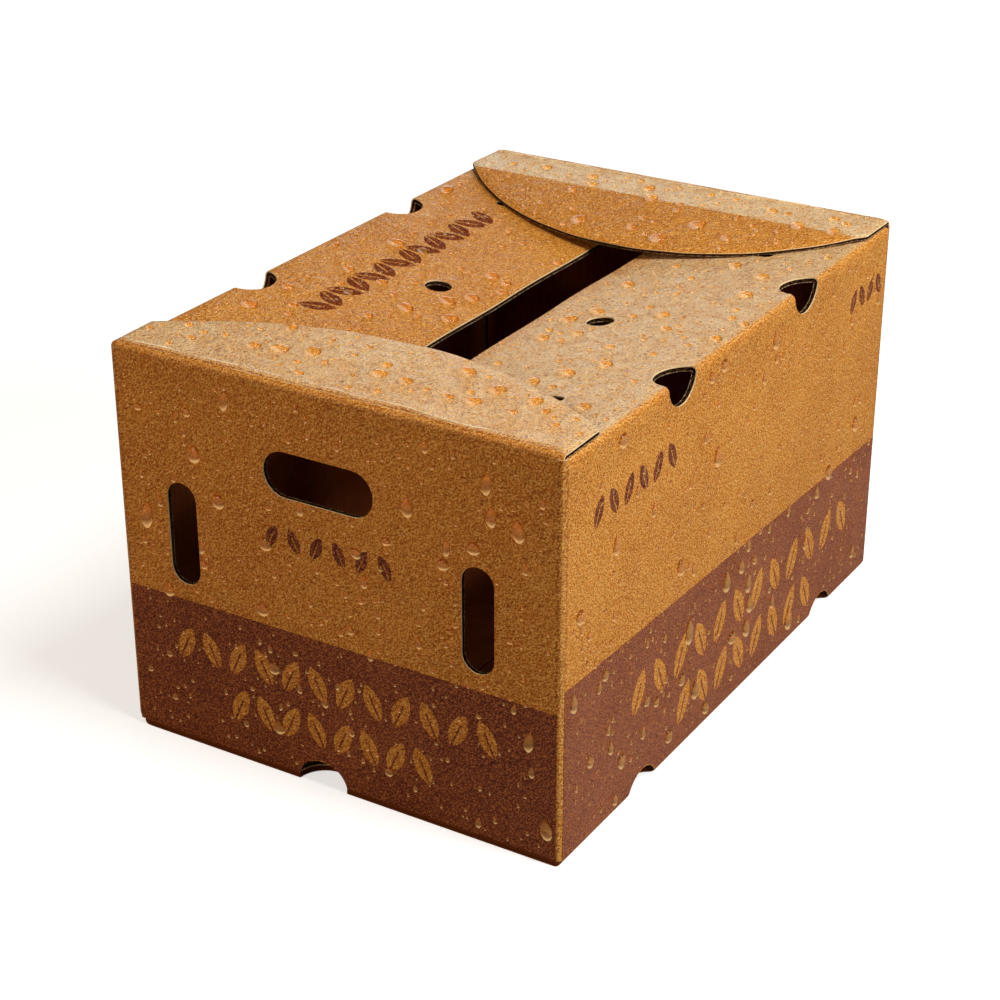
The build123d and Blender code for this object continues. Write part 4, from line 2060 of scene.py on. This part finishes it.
@dataclass(frozen=True)
class Studio:
    """A pale floor, soft light and a camera where the photographer stood."""

    eye: Point = (0.8868, -1.5021, 0.9872)
    yaw: float = 31.27
    pitch: float = 26.06
    lens: float = 81.8
    sensor: float = 36.0
    sight: float = 60.0
    aim: Point = (0.0, 0.0, 0.17)
    floor_size: float = 12.0
    floor_grey: float = 0.22
    floor_pale: float = 0.80
    floor_glow: float = 0.62
    glow_near: float = 0.7
    glow_far: float = 2.6
    sky: float = 0.14
    sky_tint: Colour = (1.0, 0.80, 0.60)
    white: Colour = (1.0, 1.0, 1.0)
    lamps: tuple[Lamp, ...] = (
        Lamp("key", (2.4, 0.3, 1.3), 1.1, 43.0),
        Lamp("back", (-1.55, 2.55, 0.75), 0.9, 4.0),
        Lamp("top", (1.2, -0.2, 2.5), 0.9, 36.0),
        Lamp("front", (-0.9, -2.4, 1.2), 1.2, 19.0, (1.0, 0.74, 0.5)),
    )

    def build(self) -> None:
        """Set up the camera, the floor and the light."""
        self._camera()
        self._floor()
        self._world()
        for lamp in self.lamps:
            self._hang(lamp)
        bpy.context.scene.view_settings.view_transform = "Standard"

    def _camera(self) -> None:
        """Put the camera where the photographer stood."""
        deselect()
        bpy.ops.object.camera_add(location=self.eye)
        camera = bpy.context.active_object
        camera.rotation_euler = (math.radians(90 - self.pitch), 0.0, math.radians(self.yaw))
        camera.data.lens = self.lens
        camera.data.sensor_width = self.sensor
        camera.data.clip_end = self.sight
        bpy.context.scene.camera = camera

    def _floor(self) -> None:
        """Lay the floor, which looks white and lights the carton as a grey one."""
        deselect()
        bpy.ops.mesh.primitive_plane_add(size=self.floor_size, location=(0, 0, 0))
        floor = bpy.context.active_object
        floor.name = "floor"
        nodes = Nodes("studio_floor")
        seen = nodes.node("LightPath").outputs["Is Camera Ray"]
        grey, pale = (
            nodes.node("BsdfDiffuse", {"Color": (level, level, level, 1.0)}).outputs[0]
            for level in (self.floor_grey, self.floor_pale)
        )
        away = nodes.node("VectorMath", {0: nodes.place}, operation="LENGTH").outputs["Value"]
        level = nodes.ramp(away, self.glow_near, self.glow_far, self.floor_glow, 1.0)
        glow = nodes.node("Emission", {"Color": (*self.white, 1.0), "Strength": level}).outputs[0]
        lit = nodes.node("AddShader", {0: pale, 1: glow}).outputs[0]
        floor.data.materials.append(nodes.finish(nodes.node("MixShader", {0: seen, 1: grey, 2: lit})))

    def _world(self) -> None:
        """Light the room evenly, and show it white to the camera and through the drops."""
        nodes = Nodes("studio", world=True)
        path = nodes.node("LightPath").outputs
        seen = nodes.math("MAXIMUM", path["Is Camera Ray"], path["Is Transmission Ray"])
        strength = nodes.node("MapRange", {0: seen, 3: self.sky, 4: 1.0}).outputs[0]
        tint = nodes.mix(seen, self.sky_tint, self.white)
        background = nodes.node("Background", {"Color": tint, "Strength": strength})
        bpy.context.scene.world = nodes.finish(background)

    def _hang(self, lamp: Lamp) -> None:
        """Hang one soft lamp that faces the carton.

        Args:
            lamp: the lamp.
        """
        deselect()
        bpy.ops.object.light_add(type="AREA", location=lamp.place)
        light = bpy.context.active_object
        light.name = lamp.name
        light.data.size = lamp.size
        light.data.energy = lamp.power
        light.data.color = lamp.tint
        aim = Vector(self.aim) - Vector(lamp.place)
        light.rotation_euler = aim.to_track_quat("-Z", "Y").to_euler()


def dress(piece: Piece, materials: Sequence[Material]) -> None:
    """Put materials in a piece's slots, in order.

    Args:
        piece: the piece.
        materials: its materials.
    """
    slots = piece.data.materials
    while len(slots) < len(materials):
        slots.append(None)
    for index, material in enumerate(materials):
        slots[index] = material


def carton_plan() -> CartonPlan:
    """Read the carton's overall sizes off its solids.

    Returns:
        The plan.
    """
    low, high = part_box("carton_body")
    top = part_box("near_end_flap")[1].z
    return CartonPlan(length=high.y - low.y, width=high.x - low.x, height=top)


def main() -> None:
    """Build and dress the carton in order."""
    logging.basicConfig(level=logging.INFO, format="%(name)s: %(message)s")
    plan = carton_plan()
    Studio().build()

    liner, edge = InnerLiner(plan.stock).make(), CutEdge(plan.stock).make()
    carton = Blank(plan)
    sealed = CutEdge(
        plan.stock,
        "sealed_edge",
        liner=(0.24, 0.07, 0.02),
        flute=(0.16, 0.04, 0.01),
        hollow_shade=(0.11, 0.028, 0.008),
    )
    blank_kraft = WaxedKraft(plan, "blank_kraft", mist_sheen=MistSheen.RIGHT_FLAP)
    blank = carton.build([blank_kraft.make(), liner, edge], sealed.make())
    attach(blank, "carton")
    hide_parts("carton_body")
    LOG.info("blank: %d faces", len(blank.data.polygons))

    near_flap = EndFlap(plan, Side.MINUS, plan.near_reach)
    far_flap = EndFlap(plan, Side.PLUS, plan.far_reach, crease=plan.far_crease, tilt=far_tilt(plan))
    flaps = {
        "near_end_flap": (near_flap, "near_flap", WaxedKraft(plan, "near_kraft", mist_sheen=MistSheen.FLAP)),
        "far_end_flap": (far_flap, "far_flap", WaxedKraft(plan, "far_kraft", mist_sheen=MistSheen.FOLD)),
    }
    for node, (flap, body, kraft) in flaps.items():
        piece = flap.build(node + "_board")
        dress(piece, [kraft.make(), liner, edge])
        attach(piece, body)
        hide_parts(node)
        LOG.info("%s: %d faces", piece.name, len(piece.data.polygons))

    rain = Rain(carton, [near_flap, far_flap])
    water = Water(seed=5)
    # Both drop materials paint shade at a drop's head, and a highlight and glow at its foot.
    on_wall = ClearWater(
        "wall_water",
        lit_toward=(0.0, 0.0, -1.0),
        head=(0.24, 0.09, 0.012),
        body=(0.78, 0.43, 0.14),
        foot=(1.0, 0.76, 0.40),
        painted_gleam=(1.0, 0.60, 0.22),
        clear=0.60,
        glow=0.42,
    ).make()
    on_top = ClearWater(
        "top_water",
        lit_toward=(-0.6, -0.8, 0.0),
        head=(0.34, 0.14, 0.015),
        body=(0.84, 0.46, 0.10),
        foot=(1.0, 0.88, 0.60),
        painted_gleam=(1.0, 0.84, 0.54),
        clear=0.80,
        glow=0.16,
    ).make()
    showers = [
        ("wall_drops", rain.on_walls(), "carton", on_wall),
        ("side_flap_drops", rain.on_side_flaps(), "carton", on_top),
        ("near_flap_drops", rain.on_flap(near_flap), "near_flap", on_top),
        ("far_flap_drops", rain.on_flap(far_flap), "far_flap", on_top),
    ]
    for name, spots, body, clear in showers:
        drops = water.wet(name, spots)
        dress(drops, [clear])
        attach(drops, body)
        LOG.info("%s: %d drops, %d faces", name, len(spots), len(drops.data.polygons))

    end_ink = Ink("end_ink")
    side_ink = Ink("side_ink", base=(0.220, 0.055, 0.026), pale=(0.300, 0.090, 0.045), mark_level=0.152)
    flap_ink = Ink("flap_ink", mark=(0.13, 0.010, 0.003), speckle=0.15, roughness=0.6, gloss=0.04)
    inks = {
        "near_end_print": end_ink,
        "far_end_print": end_ink,
        "right_side_print": side_ink,
        "left_side_print": side_ink,
        "left_flap_print": flap_ink,
    }
    made: dict[str, Material] = {}
    for node, ink in inks.items():
        if ink.name not in made:
            made[ink.name] = ink.make()
        dress(frame["nodes"][node], [made[ink.name]])


def far_tilt(plan: CartonPlan) -> float:
    """Read the tilt of the far flap's tab off its solid.

    Args:
        plan: the carton's sizes.

    Returns:
        The tilt in radians.
    """
    low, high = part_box("far_end_flap")
    tab = plan.far_reach - plan.far_crease
    run = (high.y - low.y) - plan.far_crease
    return math.acos(min(run / tab, 1.0))


if __name__ == "__main__":
    main()
